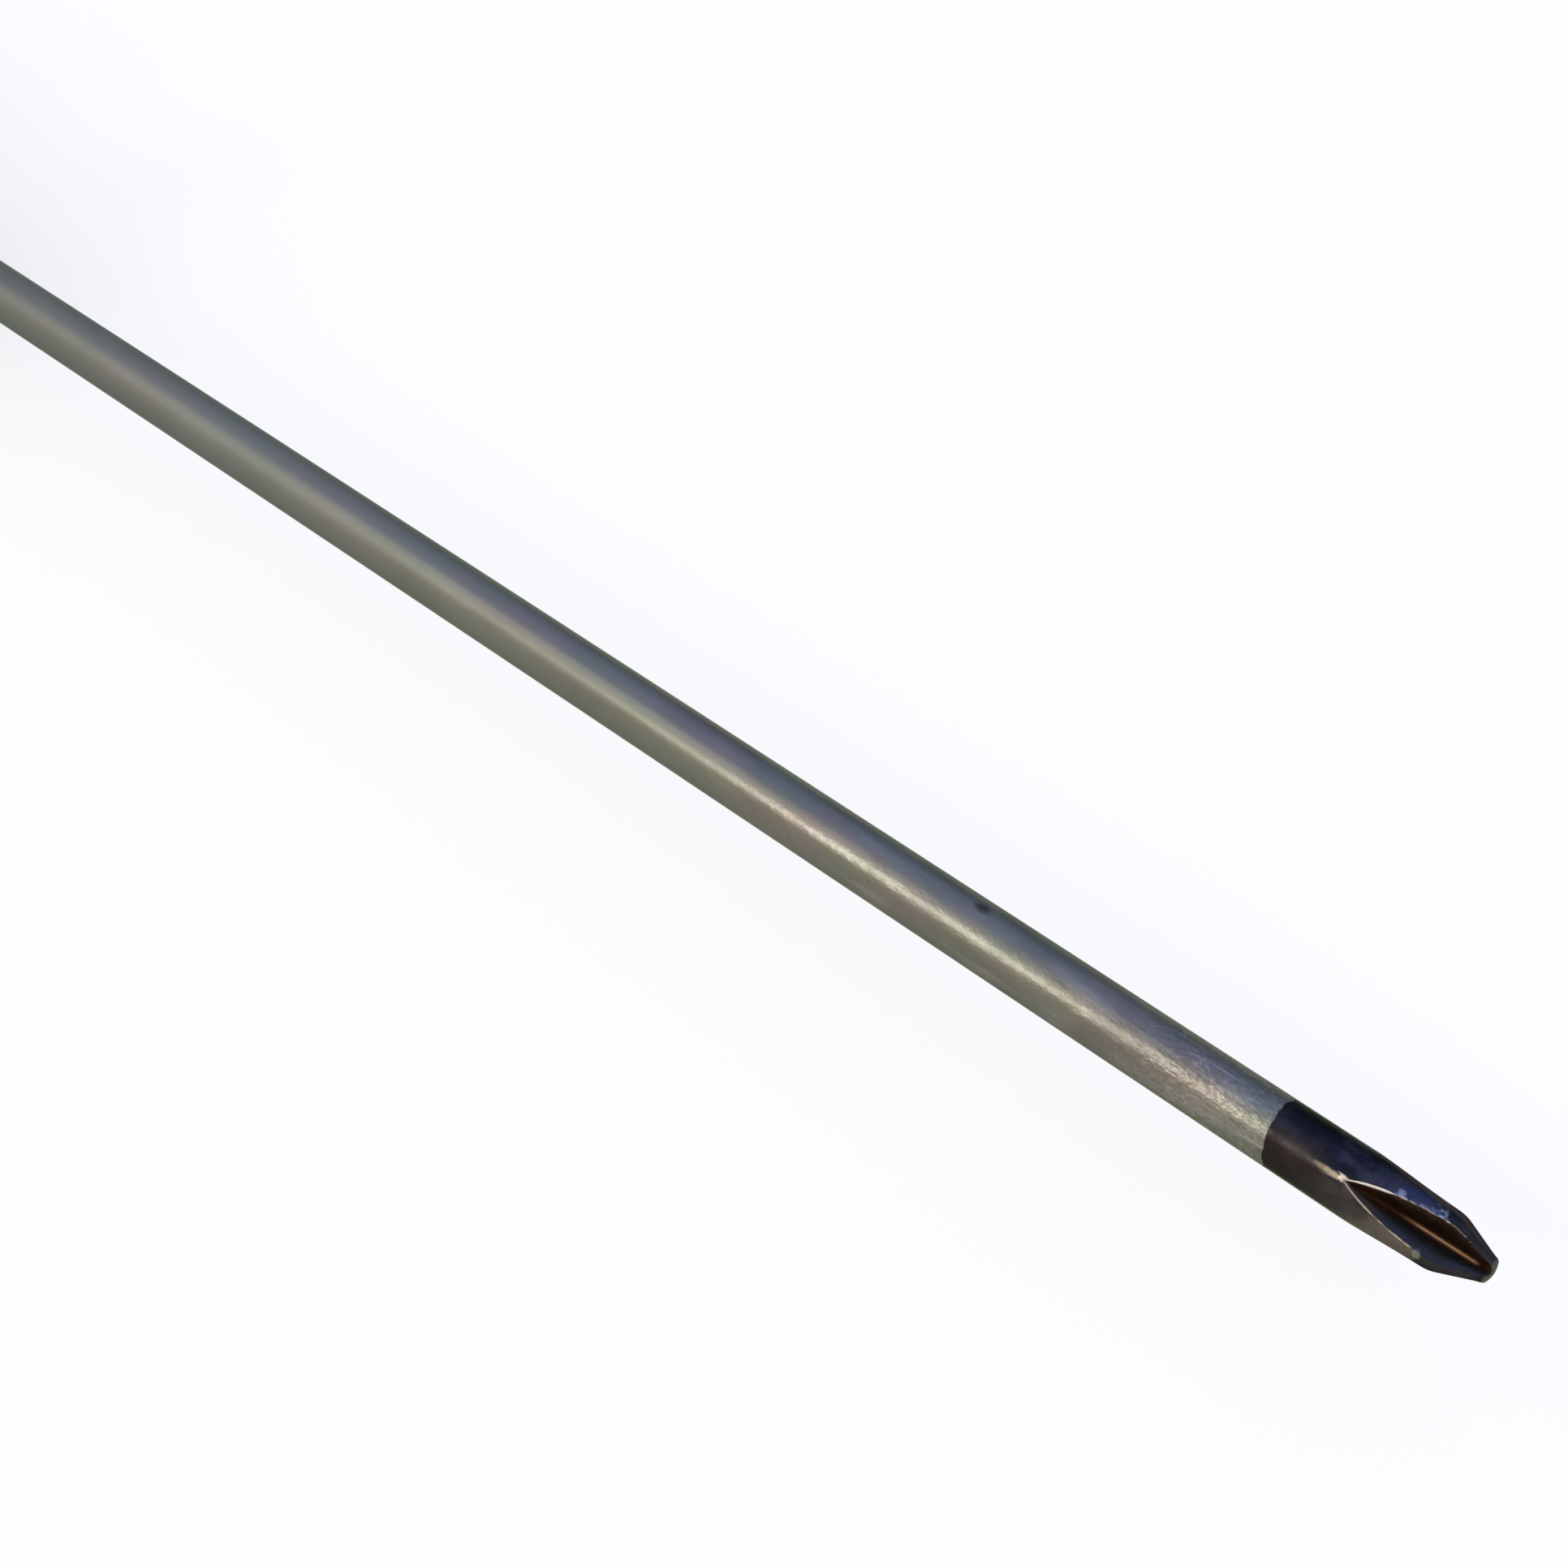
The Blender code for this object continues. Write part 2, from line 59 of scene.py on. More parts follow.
END_RADIUS = 1.0 * MM
END_CHAMFER = 0.12 * MM
END_DOME = 0.2 * MM
CONE = np.radians(26.5)
SHOULDER = 2.6 * MM
FLUTES = 4
FLUTE_TURN = np.radians(39.0)
FLUTE_HALF_ANGLE = np.radians(47.0)
ROOT_START = 0.45 * MM
ROOT_SLOPE = np.radians(5.75)
ROOT_STRAIGHT = 5.5 * MM
MILL_RADIUS = 22.0 * MM
WEAR = 0.28 * MM
WEAR_LENGTH = 1.1 * MM
EDGE_ROUND = 0.1 * MM

FLUKES = ((42.0 * MM, 0.0), (80.0 * MM, np.pi / 2))
FLUKE_HALF_LENGTH = 5.0 * MM
FLUKE_HALF_CREST = 2.5 * MM
FLUKE_HALF_SPAN = 4.5 * MM
FLUKE_HALF_THICKNESS = 1.3 * MM
FLUKE_FOOT = 2.5 * MM
FLUKE_CLEAR = 0.1 * MM
BORE_LIP = 0.35 * MM

SIXTH = np.pi / 3
NOSE_LENGTH = 12.5 * MM
GUARD_FRONT = 15.5 * MM
GUARD_BACK = 21.5 * MM
WAIST = 35.5 * MM
BELLY_FRONT = 59.5 * MM
BELLY_BACK = 89.5 * MM
BODY_BACK = 109.7 * MM
CAP_FRONT = 110.0 * MM
HANDLE_END = 122.0 * MM
NOSE_LIP = 0.7 * MM
CORE_TAPER = 16.5 * MM
CORE_BACK = 109.4 * MM
BEAD_FRONT = 111.6 * MM
BEAD_CREST = 113.25 * MM
BEAD_BACK = 115.5 * MM
SPIGOT_BACK = 116.5 * MM
CAP_APOTHEM = 14.4 * MM
CAP_CORNER = 9.0 * MM
CAP_ROUND = 3.0 * MM

# The lips of the mouldings round off in these steps, both along and in from an edge.
LIP_STEPS = np.array([0.0, 0.06, 0.16, 0.3]) * MM

# Forms of the handle, as (depth, apothem, corner radius) of a rounded hexagon.
BODY_FORM = (
    (NOSE_LENGTH, 11.2 * MM, 10.86 * MM),
    (GUARD_FRONT, 16.0 * MM, 6.22 * MM),
    (GUARD_BACK, 16.0 * MM, 6.22 * MM),
    (WAIST, 12.6 * MM, 9.5 * MM),
    (BELLY_FRONT, 15.7 * MM, 8.0 * MM),
    (BELLY_BACK, 15.7 * MM, 8.0 * MM),
    (BODY_BACK, CAP_APOTHEM, CAP_CORNER),
)
CORE_FORM = (
    (0.0, 5.3 * MM, 5.2 * MM),
    (NOSE_LIP, 6.0 * MM, 5.9 * MM),
    (NOSE_LENGTH, 9.0 * MM, 8.8 * MM),
    (CORE_TAPER, 7.5 * MM, 4.4 * MM),
    (WAIST, 7.5 * MM, 4.4 * MM),
    (BELLY_FRONT, 10.6 * MM, 2.9 * MM),
    (BELLY_BACK, 10.6 * MM, 2.9 * MM),
    (CORE_BACK, 9.3 * MM, 3.9 * MM),
    (BODY_BACK, 7.2 * MM, 3.5 * MM),
    (BEAD_FRONT, 7.2 * MM, 3.5 * MM),
    (BEAD_CREST, 7.7 * MM, 3.5 * MM),
    (BEAD_BACK, 7.2 * MM, 3.5 * MM),
    (SPIGOT_BACK, 6.2 * MM, 3.5 * MM),
)

PAD_FRONT = 30.5 * MM
PAD_BACK = 101.7 * MM
PAD_MIDDLE = (PAD_FRONT + PAD_BACK) / 2
PAD_HALF = (PAD_BACK - PAD_FRONT) / 2
PAD_THICKNESS = 2.3 * MM
PAD_PROUD = 0.3 * MM
PAD_END_SHARE = 0.985
PAD_CROWN = 0.7 * MM
POCKET_LIP = 0.12 * MM
RIB_WIDTH = 5.2 * MM
GROOVES = 9
GROOVES_BACK = 3.0 * MM
GROOVE_PITCH = 4.2 * MM
GROOVE_DEPTH = 0.28 * MM
GROOVE_WIDTH = 0.75 * MM

DISC_RADIUS = 8.0 * MM
DISC_FACE = 121.65 * MM
DISC_FRONT = 120.25 * MM
PEG_RADIUS = 1.5 * MM
PEG_LENGTH = 1.6 * MM
CROSS_HALF_SPAN = 4.5 * MM
CROSS_HALF_WIDTH = 0.9 * MM
CROSS_HEIGHT = 0.25 * MM

# The x where plate gives way to oxide on top of the blade, and places on it as (x, y, z), in metres: a
# nick, painted highlights, a painted blue sheen and a paler crest.
FINISH_LINE = 0.14145
NICK = (0.11145, 0.0007, 0.01892)
TAN_HIGHLIGHT = (0.1472, -0.00193, 0.0183)
APEX = (0.1484, -0.0018, 0.0184)
PAINTED_BLUE_SHEEN = (0.1538, 0.0003, 0.01898)
PALE_CREST = (0.1557, -0.0029, 0.0167)
PAINTED_GLINTS = (((0.15255, -0.0003, 0.01898), 0.0004), ((0.1555, 0.0002, 0.019), 0.00068))

FLOOR_WHITE = 0.75
ROOM_STRENGTH = 1.4
FOCAL_PIXELS = 2600.0
PICTURE_PIXELS = 1932.0


# Skins


def skin(name, rings, look, nodes, joined=False, sharp=48, marks=None):
    """A closed piece through rings[i, j], with i along the profile and j round it.

    Quads join each ring to the next. The first and last close in a fan about their middles, or
    meet each other if joined. The faces are turned outwards where the enclosed volume, the sum of
    a . (b x c) / 6 over the triangles, is negative. marks are numbers kept for each point.
    """
    count, around = rings.shape[:2]
    index = np.arange(count * around).reshape(count, around)
    low = index if joined else index[:-1]
    high = np.roll(index, -1, axis=0) if joined else index[1:]
    quads = [low, high, np.roll(high, -1, axis=1), np.roll(low, -1, axis=1)]
    quads = np.stack(quads, axis=-1).reshape(-1, 4)
    points = rings.reshape(-1, 3)
    fans = np.zeros((0, 3), int)
    if not joined:
        points = np.concatenate([points, [rings[0].mean(axis=0), rings[-1].mean(axis=0)]])
        first, last = index[0], index[-1]
        front = np.stack([first, np.roll(first, -1), np.full(around, count * around)], axis=-1)
        back = np.stack([np.roll(last, -1), last, np.full(around, count * around + 1)], axis=-1)
        fans = np.concatenate([front, back])
    corners = np.concatenate([quads[:, [0, 1, 2]], quads[:, [0, 2, 3]], fans])
    a, b, c = (points[corners[:, k]] for k in range(3))
    if np.einsum("ij,ij->", a, np.cross(b, c)) < 0:
        quads, fans = quads[:, ::-1], fans[:, ::-1]
    mesh = bpy.data.meshes.new(name)
    mesh.from_pydata(points.tolist(), [], quads.tolist() + fans.tolist())
    for mark, values in (marks or {}).items():
        full = np.concatenate([values.reshape(-1), np.zeros(len(points) - count * around)])
        mesh.attributes.new(mark, "FLOAT", "POINT").data.foreach_set("value", full)
    mesh.shade_smooth()
    mesh.set_sharp_from_angle(angle=np.radians(sharp))
    mesh.materials.append(look)
    piece = bpy.data.objects.new(name, mesh)
    bpy.context.scene.collection.objects.link(piece)
    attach(piece, "root")
    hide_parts(*nodes)
    return piece


def stretch(*spans):
    """Depths along consecutive spans (from, to, steps), each evenly divided and ends shared."""
    parts = [np.linspace(low, high, steps, endpoint=False) for low, high, steps in spans]
    return np.concatenate([*parts, [spans[-1][1]]])


def settled(points):
    """Tool coordinates, x from the nose's front and z from the axis, to where the tool lies."""
    return points + np.array([NOSE_X, 0.0, AXIS_Z])


def bell(distance, width):
    """A bell curve, exp(-(d / w)^2)."""
    return np.exp(-((distance / width) ** 2))


# Blade


def point_radius(back):
    """r at a reach back: a worn corner, the cone r0 + b tan 26.5, a round shoulder, the shaft."""
    slope = np.tan(CONE)
    tangent = (SHAFT - END_RADIUS) / slope + SHOULDER * np.tan(CONE / 2)
    angles = np.linspace(CONE, 0.0, 9)
    corner = np.array([0.0, 0.35, 1.0]) * 2 * END_CHAMFER
    backs = [*(END_DOME + corner), *(tangent - SHOULDER * np.sin(angles))]
    radii = END_RADIUS + (END_DOME + corner) * slope - np.array([1.0, 0.3, 0.0]) * END_CHAMFER
    return np.interp(back, backs, [*radii, *(SHAFT - SHOULDER * (1 - np.cos(angles)))])


def flute_root(back):
    """h = h0 + b tan s as far as the straight goes, then the mill's circle, tangent to it. Wear at
    the end of the point adds w (1 - b / l)^2."""
    straight = np.minimum(back, ROOT_STRAIGHT)
    sine = np.sin(ROOT_SLOPE) + (back - straight) / MILL_RADIUS
    rise = np.cos(ROOT_SLOPE) - np.sqrt(1 - np.minimum(sine, 0.9) ** 2)
    worn = WEAR * np.maximum(1 - back / WEAR_LENGTH, 0.0) ** 2
    return ROOT_START + straight * np.tan(ROOT_SLOPE) + MILL_RADIUS * rise + worn


def tang_radius(depth, turn, spread=0.0):
    """r of the tang at a turn from +Z towards -Y: the shaft, or a fluke's box where that is out
    further, min(span / |sin|, thickness / |cos|), its span drawn in to a foot at both ends."""
    radius = np.full(np.broadcast(depth, turn).shape, SHAFT + spread)
    for middle, direction in FLUKES:
        off = np.abs(depth - middle)
        crest, foot = FLUKE_HALF_CREST, FLUKE_HALF_LENGTH + spread
        span = np.interp(off, [crest, foot], [FLUKE_HALF_SPAN, FLUKE_FOOT]) + spread
        across = np.abs(np.sin(turn - direction)) + 1e-9
        through = np.abs(np.cos(turn - direction)) + 1e-9
        reach = np.minimum(span / across, (FLUKE_HALF_THICKNESS + spread) / through)
        radius = np.maximum(radius, np.where(off <= foot, reach, 0.0))
    return radius


def blade_skin(look):
    """The blade in polar rings about its axis: r = softmin(outline, flute wall), wall = h sin a /
    sin(a - |t|) at a turn t from the flute's root. Columns keep to the root and both edges, and
    spread out evenly behind the flutes."""
    clear = FLUKE_HALF_LENGTH + FLUKE_CLEAR
    first, second = (BLADE_REACH + middle for middle, _ in FLUKES)
    end = BLADE_REACH + TANG_DEPTH
    back = stretch(
        (END_DOME, 0.5 * MM, 8),
        (0.5 * MM, 6.0 * MM, 62),
        (6.0 * MM, 11.6 * MM, 60),
        (11.6 * MM, FLUTES_END, 36),
        (FLUTES_END, PLAIN_SHAFT, 20),
        (PLAIN_SHAFT, first - clear, 24),
        (first - clear, first + clear, 12),
        (first + clear, second - clear, 4),
        (second - clear, second + clear, 12),
        (second + clear, end - TANG_CHAMFER, 3),
        (end - TANG_CHAMFER, end, 1),
    )[:, None]
    outline = point_radius(back)
    root = flute_root(back)
    open_share = np.clip((outline - root) / (0.12 * MM), 0.0, 1.0)
    sine = np.clip(root / outline, 0.0, 1.0) * np.sin(FLUTE_HALF_ANGLE)
    edge_turn = np.maximum(FLUTE_HALF_ANGLE - np.arcsin(sine), np.radians(1.5))
    edge = outline * np.sin(edge_turn)
    shrink = np.minimum(1.0, edge / (0.8 * MM))
    near = np.array([0.04, 0.1, 0.18]) * MM * shrink
    middle = near[:, 2:] + (edge - 2 * near[:, 2:]) * np.linspace(0, 1, 9)[None, 1:-1]
    side = np.concatenate([0 * edge, near, middle, edge - near[:, ::-1], edge], axis=1)
    wall_turn = np.arctan2(side, root + side / np.tan(FLUTE_HALF_ANGLE))
    wall_turn *= edge_turn / wall_turn[:, -1:]
    rest = np.pi / 4 - edge_turn
    steps = np.minimum(near / outline, rest * np.array([0.1, 0.22, 0.36]))
    crest = edge_turn + np.concatenate(
        [steps, steps[:, 2:] + (rest - steps[:, 2:]) * np.linspace(0, 1, 10)[None, 1:]], axis=1
    )
    half = np.concatenate([wall_turn, crest], axis=1)
    even = np.linspace(0, np.pi / 4, half.shape[1])[None, :]
    spread = np.clip((back - FLUTES_END) / (8.0 * MM), 0.0, 1.0)
    half = half * (1 - spread) + even * spread
    wall = root * np.sin(FLUTE_HALF_ANGLE) / np.sin(
        np.maximum(FLUTE_HALF_ANGLE - half, np.radians(1.0))
    )
    mix = np.maximum(EDGE_ROUND - np.abs(wall - outline), 0.0) / EDGE_ROUND
    radius = np.minimum(wall, outline) - mix**2 * EDGE_ROUND / 4
    from_edge = np.abs(half - edge_turn) * outline
    marks = {
        "edge": bell(from_edge, 0.1 * MM) * open_share,
        "brink": bell(from_edge - 0.06 * MM, 0.16 * MM) * (half > edge_turn) * open_share,
        "root": bell(radius * np.sin(half), 0.13 * MM) * open_share,
        "glow": bell(radius * np.sin(half), 0.32 * MM) * open_share,
        "wall": np.clip((edge_turn - half) * outline / (0.05 * MM), 0.0, 1.0) * open_share,
    }

    def whole(values):
        """Half a sector, mirrored about the flute's root and repeated at every flute."""
        sector = np.concatenate([values[:, -2:0:-1], values], axis=1)
        return np.tile(sector, (1, FLUTES))

    turns = np.concatenate([-half[:, -2:0:-1], half], axis=1)
    turns = np.concatenate([FLUTE_TURN + k * np.pi / 2 + turns for k in range(FLUTES)], axis=1)
    radius = whole(radius)
    depth = back - BLADE_REACH
    radius = np.where(depth > IN_HANDLE, tang_radius(depth, turns), radius)
    radius[-1] -= TANG_CHAMFER
    x = np.broadcast_to(-depth, turns.shape)
    rings = np.stack([x, -radius * np.sin(turns), radius * np.cos(turns)], axis=-1)
    shares = np.array([0.05, 0.3, 0.55, 0.75, 0.9])[:, None, None]
    face = rings[:1] * np.array([0.0, 1.0, 1.0]) * shares
    face[..., 0] = BLADE_REACH - END_DOME * shares[..., 0] ** 2
    rings = np.concatenate([face, rings])
    full = {}
    for mark, values in marks.items():
        values = whole(values)
        full[mark] = np.concatenate([np.zeros((len(shares), values.shape[1])), values])
    return skin("blade_bar", settled(rings), look, ["blade"], marks=full)


# Handle


def form_at(depth, form, spread=0.0):
    """(apothem, corner) at a depth: v0 + (v1 - v0) s s (3 - 2 s) from each stop to the next."""
    stops = np.array(form)
    i = np.clip(np.searchsorted(stops[:, 0], depth, side="right") - 1, 0, len(stops) - 2)
    low, high = stops[i], stops[i + 1]
    s = np.clip((depth - low[..., 0]) / (high[..., 0] - low[..., 0]), 0.0, 1.0)[..., None]
    values = low[..., 1:] + (high[..., 1:] - low[..., 1:]) * s * s * (3 - 2 * s)
    return values[..., 0] + spread, values[..., 1] + spread


def half_side(apothem, corner):
    """From the middle of a side to the middle of its rounded corner, (a - c) tan 30 + c sin 30."""
    return (apothem - corner) * np.tan(SIXTH / 2) + corner * np.sin(SIXTH / 2)


def side_height(across, apothem, corner):
    """h = a - c + sqrt(c c - p p), where p is how far past the flat y lies."""
    past = np.maximum(0.0, np.abs(across) - (apothem - corner) * np.tan(SIXTH / 2))
    return apothem - corner + np.sqrt(np.maximum(corner**2 - past**2, 0.0))


def six_sides(depth, across, height):
    """Rings through six copies of a side's strip, each turned 60 degrees on from the last:
    (-d, y cos f + h sin f, y sin f - h cos f)."""
    turn = SIXTH * np.arange(6)[None, :, None]
    y, h = across[:, None, :], height[:, None, :]
    x = np.broadcast_to(-depth[:, None, None], (len(depth), 6, across.shape[1]))
    rings = [x, y * np.cos(turn) + h * np.sin(turn), y * np.sin(turn) - h * np.cos(turn)]
    return np.stack(rings, axis=-1).reshape(len(depth), -1, 3)


def hexagon_rings(depth, apothem, corner, steps):
    """Rings of the plain rounded hexagon, h(y) on each side with y evenly divided."""
    half = half_side(apothem, corner)[:, None]
    across = half * np.linspace(-1, 1, steps, endpoint=False)[None, :]
    return six_sides(depth, across, side_height(across, apothem[:, None], corner[:, None]))


def round_rings(depth, radius, steps):
    """Circles (-d, r sin t, -r cos t) that start at the same corner as the hexagons. r is one number
    for each, or a function of the depth and the turn from +Z."""
    turn = -SIXTH / 2 + SIXTH * np.arange(6 * steps)[None, :] / steps
    radius = radius(depth[:, None], np.pi + turn) if callable(radius) else radius[:, None]
    x = np.broadcast_to(-depth[:, None], (len(depth), 6 * steps))
    radius = np.broadcast_to(radius, x.shape)
    return np.stack([x, radius * np.sin(turn), -radius * np.cos(turn)], axis=-1)


def core_skin(look):
    """The inner moulding: out over the nose, back along the core and spigot, and in by the bore."""
    outside = stretch(
        (0.0, NOSE_LIP, 6),
        (NOSE_LIP, NOSE_LENGTH, 24),
        (NOSE_LENGTH, CORE_TAPER, 5),
        (CORE_TAPER, WAIST, 3),
        (WAIST, BELLY_FRONT, 12),
        (BELLY_FRONT, BELLY_BACK, 2),
        (BELLY_BACK, CORE_BACK, 8),
        (CORE_BACK, BODY_BACK, 2),
        (BODY_BACK, SPIGOT_BACK, 16),
    )
    apothem, corner = form_at(outside, CORE_FORM)
    outer = hexagon_rings(outside, apothem, corner, 16)
    clear = FLUKE_HALF_LENGTH + GAP + FLUKE_CLEAR
    first, second = (middle for middle, _ in FLUKES)
    inside = stretch(
        (TANG_DEPTH + GAP, second + clear, 3),
        (second + clear, second - clear, 10),
        (second - clear, first + clear, 2),
        (first + clear, first - clear, 10),
        (first - clear, BORE_LIP, 2),
        (BORE_LIP, 0.0, 2),
    )
    bore = round_rings(inside, lambda depth, turn: tang_radius(depth, turn, GAP), 16)
    bore[-1, :, 1:] *= 1.06
    rings = np.concatenate([bore, outer])
    return skin("nose_and_core", settled(rings), look, ["handle_core"])


def pad_half_width(depth):
    """w = (half side - rib / 2)(1 - s^3)^(1/3), with s the share of the way to the pad's end."""
    apothem, corner = form_at(depth, BODY_FORM)
    share = np.minimum(np.abs(depth - PAD_MIDDLE) / PAD_HALF, PAD_END_SHARE)
    return (half_side(apothem, corner) - RIB_WIDTH / 2) * (1 - share**3) ** (1 / 3)


def body_skin(look):
    """The outer moulding: each side's strip over the guard, waist and belly, sunk to a floor
    inside the pad's outline, then back to the front along the core."""
    pocket_reach = PAD_END_SHARE * (PAD_HALF + GAP)
    front, back = PAD_MIDDLE - pocket_reach, PAD_MIDDLE + pocket_reach
    shares = -np.cos(np.linspace(0, np.pi, 70))
    depth = np.concatenate(
        [
            NOSE_LENGTH + LIP_STEPS,
            np.linspace(NOSE_LENGTH + 0.5 * MM, GUARD_FRONT, 16),
            np.linspace(GUARD_FRONT, GUARD_BACK, 5)[1:],
            np.linspace(GUARD_BACK, front - POCKET_LIP, 16)[1:],
            PAD_MIDDLE + pocket_reach * shares,
            np.linspace(back + POCKET_LIP, BODY_BACK - LIP_STEPS[3], 8),
            BODY_BACK - LIP_STEPS[2::-1],
        ]
    )
    ends = np.minimum(depth - NOSE_LENGTH, BODY_BACK - depth)
    inset = np.interp(ends, LIP_STEPS, LIP_STEPS[::-1])
    apothem, corner = (v[:, None] for v in form_at(depth, BODY_FORM))
    apothem, corner = apothem - inset[:, None], corner - inset[:, None]
    half = half_side(apothem, corner)
    pocket = pad_half_width(depth)[:, None] + GAP
    floor = (pocket - 0.03 * MM) * np.linspace(0, 1, 6)[None, :]
    ribs = pocket + POCKET_LIP + (half - pocket - POCKET_LIP) * np.linspace(0, 1, 13)[None, :]
    right = np.concatenate([floor, pocket, ribs], axis=1)
    across = np.concatenate([-right[:, -1:0:-1], right[:, :-1]], axis=1)
    height = side_height(across, apothem, corner)
    inside = (depth > front + 1e-6) & (depth < back - 1e-6)
    column = np.abs(across)
    sunk = inside[:, None] & (column < pocket - 0.01 * MM)
    at_lip = ((depth > front - 1e-6) & (depth < back + 1e-6))[:, None] & (column < pocket + 0.01 * MM)
    height = height - np.where(sunk, PAD_THICKNESS, np.where(at_lip, 0.08 * MM, 0.0))
    outer = six_sides(depth, across, height)
    within = depth[::-1]
    a, c = (v[:, None] for v in form_at(within, CORE_FORM, GAP))
    y = across[::-1] / half[::-1] * half_side(a, c)
    inner = six_sides(within, y, side_height(y, a, c))
    rings = np.concatenate([outer, inner])
    return skin("grip_body", settled(rings), look, ["handle_body"], joined=True, sharp=38)


def pad_skin(number, look):
    """A soft pad: crowned at its edges by the quarter circle sqrt(1 - (1 - t)^2), with grooves
    cos^2 across the belly, and a plain underside in the pocket."""
    shares = -np.cos(np.linspace(0, np.pi, 49))[1:-1] * PAD_END_SHARE
    even = np.linspace(-0.8, 0.8, 220)
    share = np.unique(np.concatenate([shares, even, [-PAD_END_SHARE, PAD_END_SHARE]]))
    depth = PAD_MIDDLE + PAD_HALF * share
    apothem, corner = (v[:, None] for v in form_at(depth, BODY_FORM))
    width = pad_half_width(depth)[:, None]
    place = np.sin(np.linspace(-np.pi / 2, np.pi / 2, 25))[None, :]
    across = width * place
    from_side = (1 - np.abs(place)) * width
    from_end = (PAD_END_SHARE - np.abs(share))[:, None] * PAD_HALF
    inset = np.clip(np.minimum(from_side, from_end) / PAD_CROWN, 0.0, 1.0)
    crown = PAD_PROUD * np.sqrt(1 - (1 - inset) ** 2)
    first = PAD_MIDDLE + GROOVES_BACK - GROOVE_PITCH * (GROOVES - 1) / 2
    step = np.clip(np.round((depth - first) / GROOVE_PITCH), 0, GROOVES - 1)
    off = np.abs(depth - first - step * GROOVE_PITCH)[:, None] / GROOVE_WIDTH
    hollow = np.where(off < 1, np.cos(np.minimum(off, 1) * np.pi / 2) ** 2, 0.0)
    hollow = hollow * np.clip((width * 0.82 - np.abs(across)) / (0.8 * MM), 0.0, 1.0)
    base = side_height(across, apothem, corner)
    top = base + crown - GROOVE_DEPTH * hollow
    bottom = base - PAD_THICKNESS + GAP
    turn = SIXTH * (number - 1)
    y = np.concatenate([across, across[:, ::-1]], axis=1)
    h = np.concatenate([top, bottom[:, ::-1]], axis=1)
    x = np.broadcast_to(-depth[:, None], y.shape)
    rings = [x, y * np.cos(turn) + h * np.sin(turn), y * np.sin(turn) - h * np.cos(turn)]
    under = np.zeros_like(hollow)
    marks = {
        "hollow": np.concatenate([hollow, under], axis=1),
        "rim": np.concatenate([1 - inset, under], axis=1),
    }
    rings = settled(np.stack(rings, axis=-1))
    return skin(f"soft_pad_{number}", rings, look, [f"grip_pad_{number}"], marks=marks)


def cap_skin(look):
    """The cap: cavity for the spigot, front face, sides, a back edge rounded by the quarter circle
    r (1 - sin t) along and r (1 - cos t) in, and the disc's recess."""
    steps = 20
    cavity = np.array([SPIGOT_BACK, BEAD_BACK, BEAD_CREST, BEAD_FRONT, CAP_FRONT])
    inner = hexagon_rings(cavity, *form_at(cavity, CORE_FORM, GAP), steps)
    turn = np.linspace(0, np.pi / 2, 9)
    lip, back = np.append(LIP_STEPS, 4 * MM), HANDLE_END - CAP_ROUND * (1 - np.sin(turn))
    sides = np.concatenate([CAP_FRONT + lip, back])
    inset = np.concatenate([LIP_STEPS[::-1], [0.0], CAP_ROUND * (1 - np.cos(turn))])
    outer = hexagon_rings(sides, CAP_APOTHEM - inset, CAP_CORNER - inset, steps)
    chamfer, wide, narrow = 0.15 * MM, DISC_RADIUS + GAP, PEG_RADIUS + GAP
    floor, hole = DISC_FRONT - GAP, DISC_FRONT - PEG_LENGTH - GAP
    recess = np.array([HANDLE_END, HANDLE_END - chamfer, floor, floor, hole])
    radii = np.array([wide + chamfer, wide, wide, narrow, narrow])
    rings = np.concatenate([inner, outer, round_rings(recess, radii, steps)])
    return skin("back_cap", settled(rings), look, ["end_cap"], sharp=38)


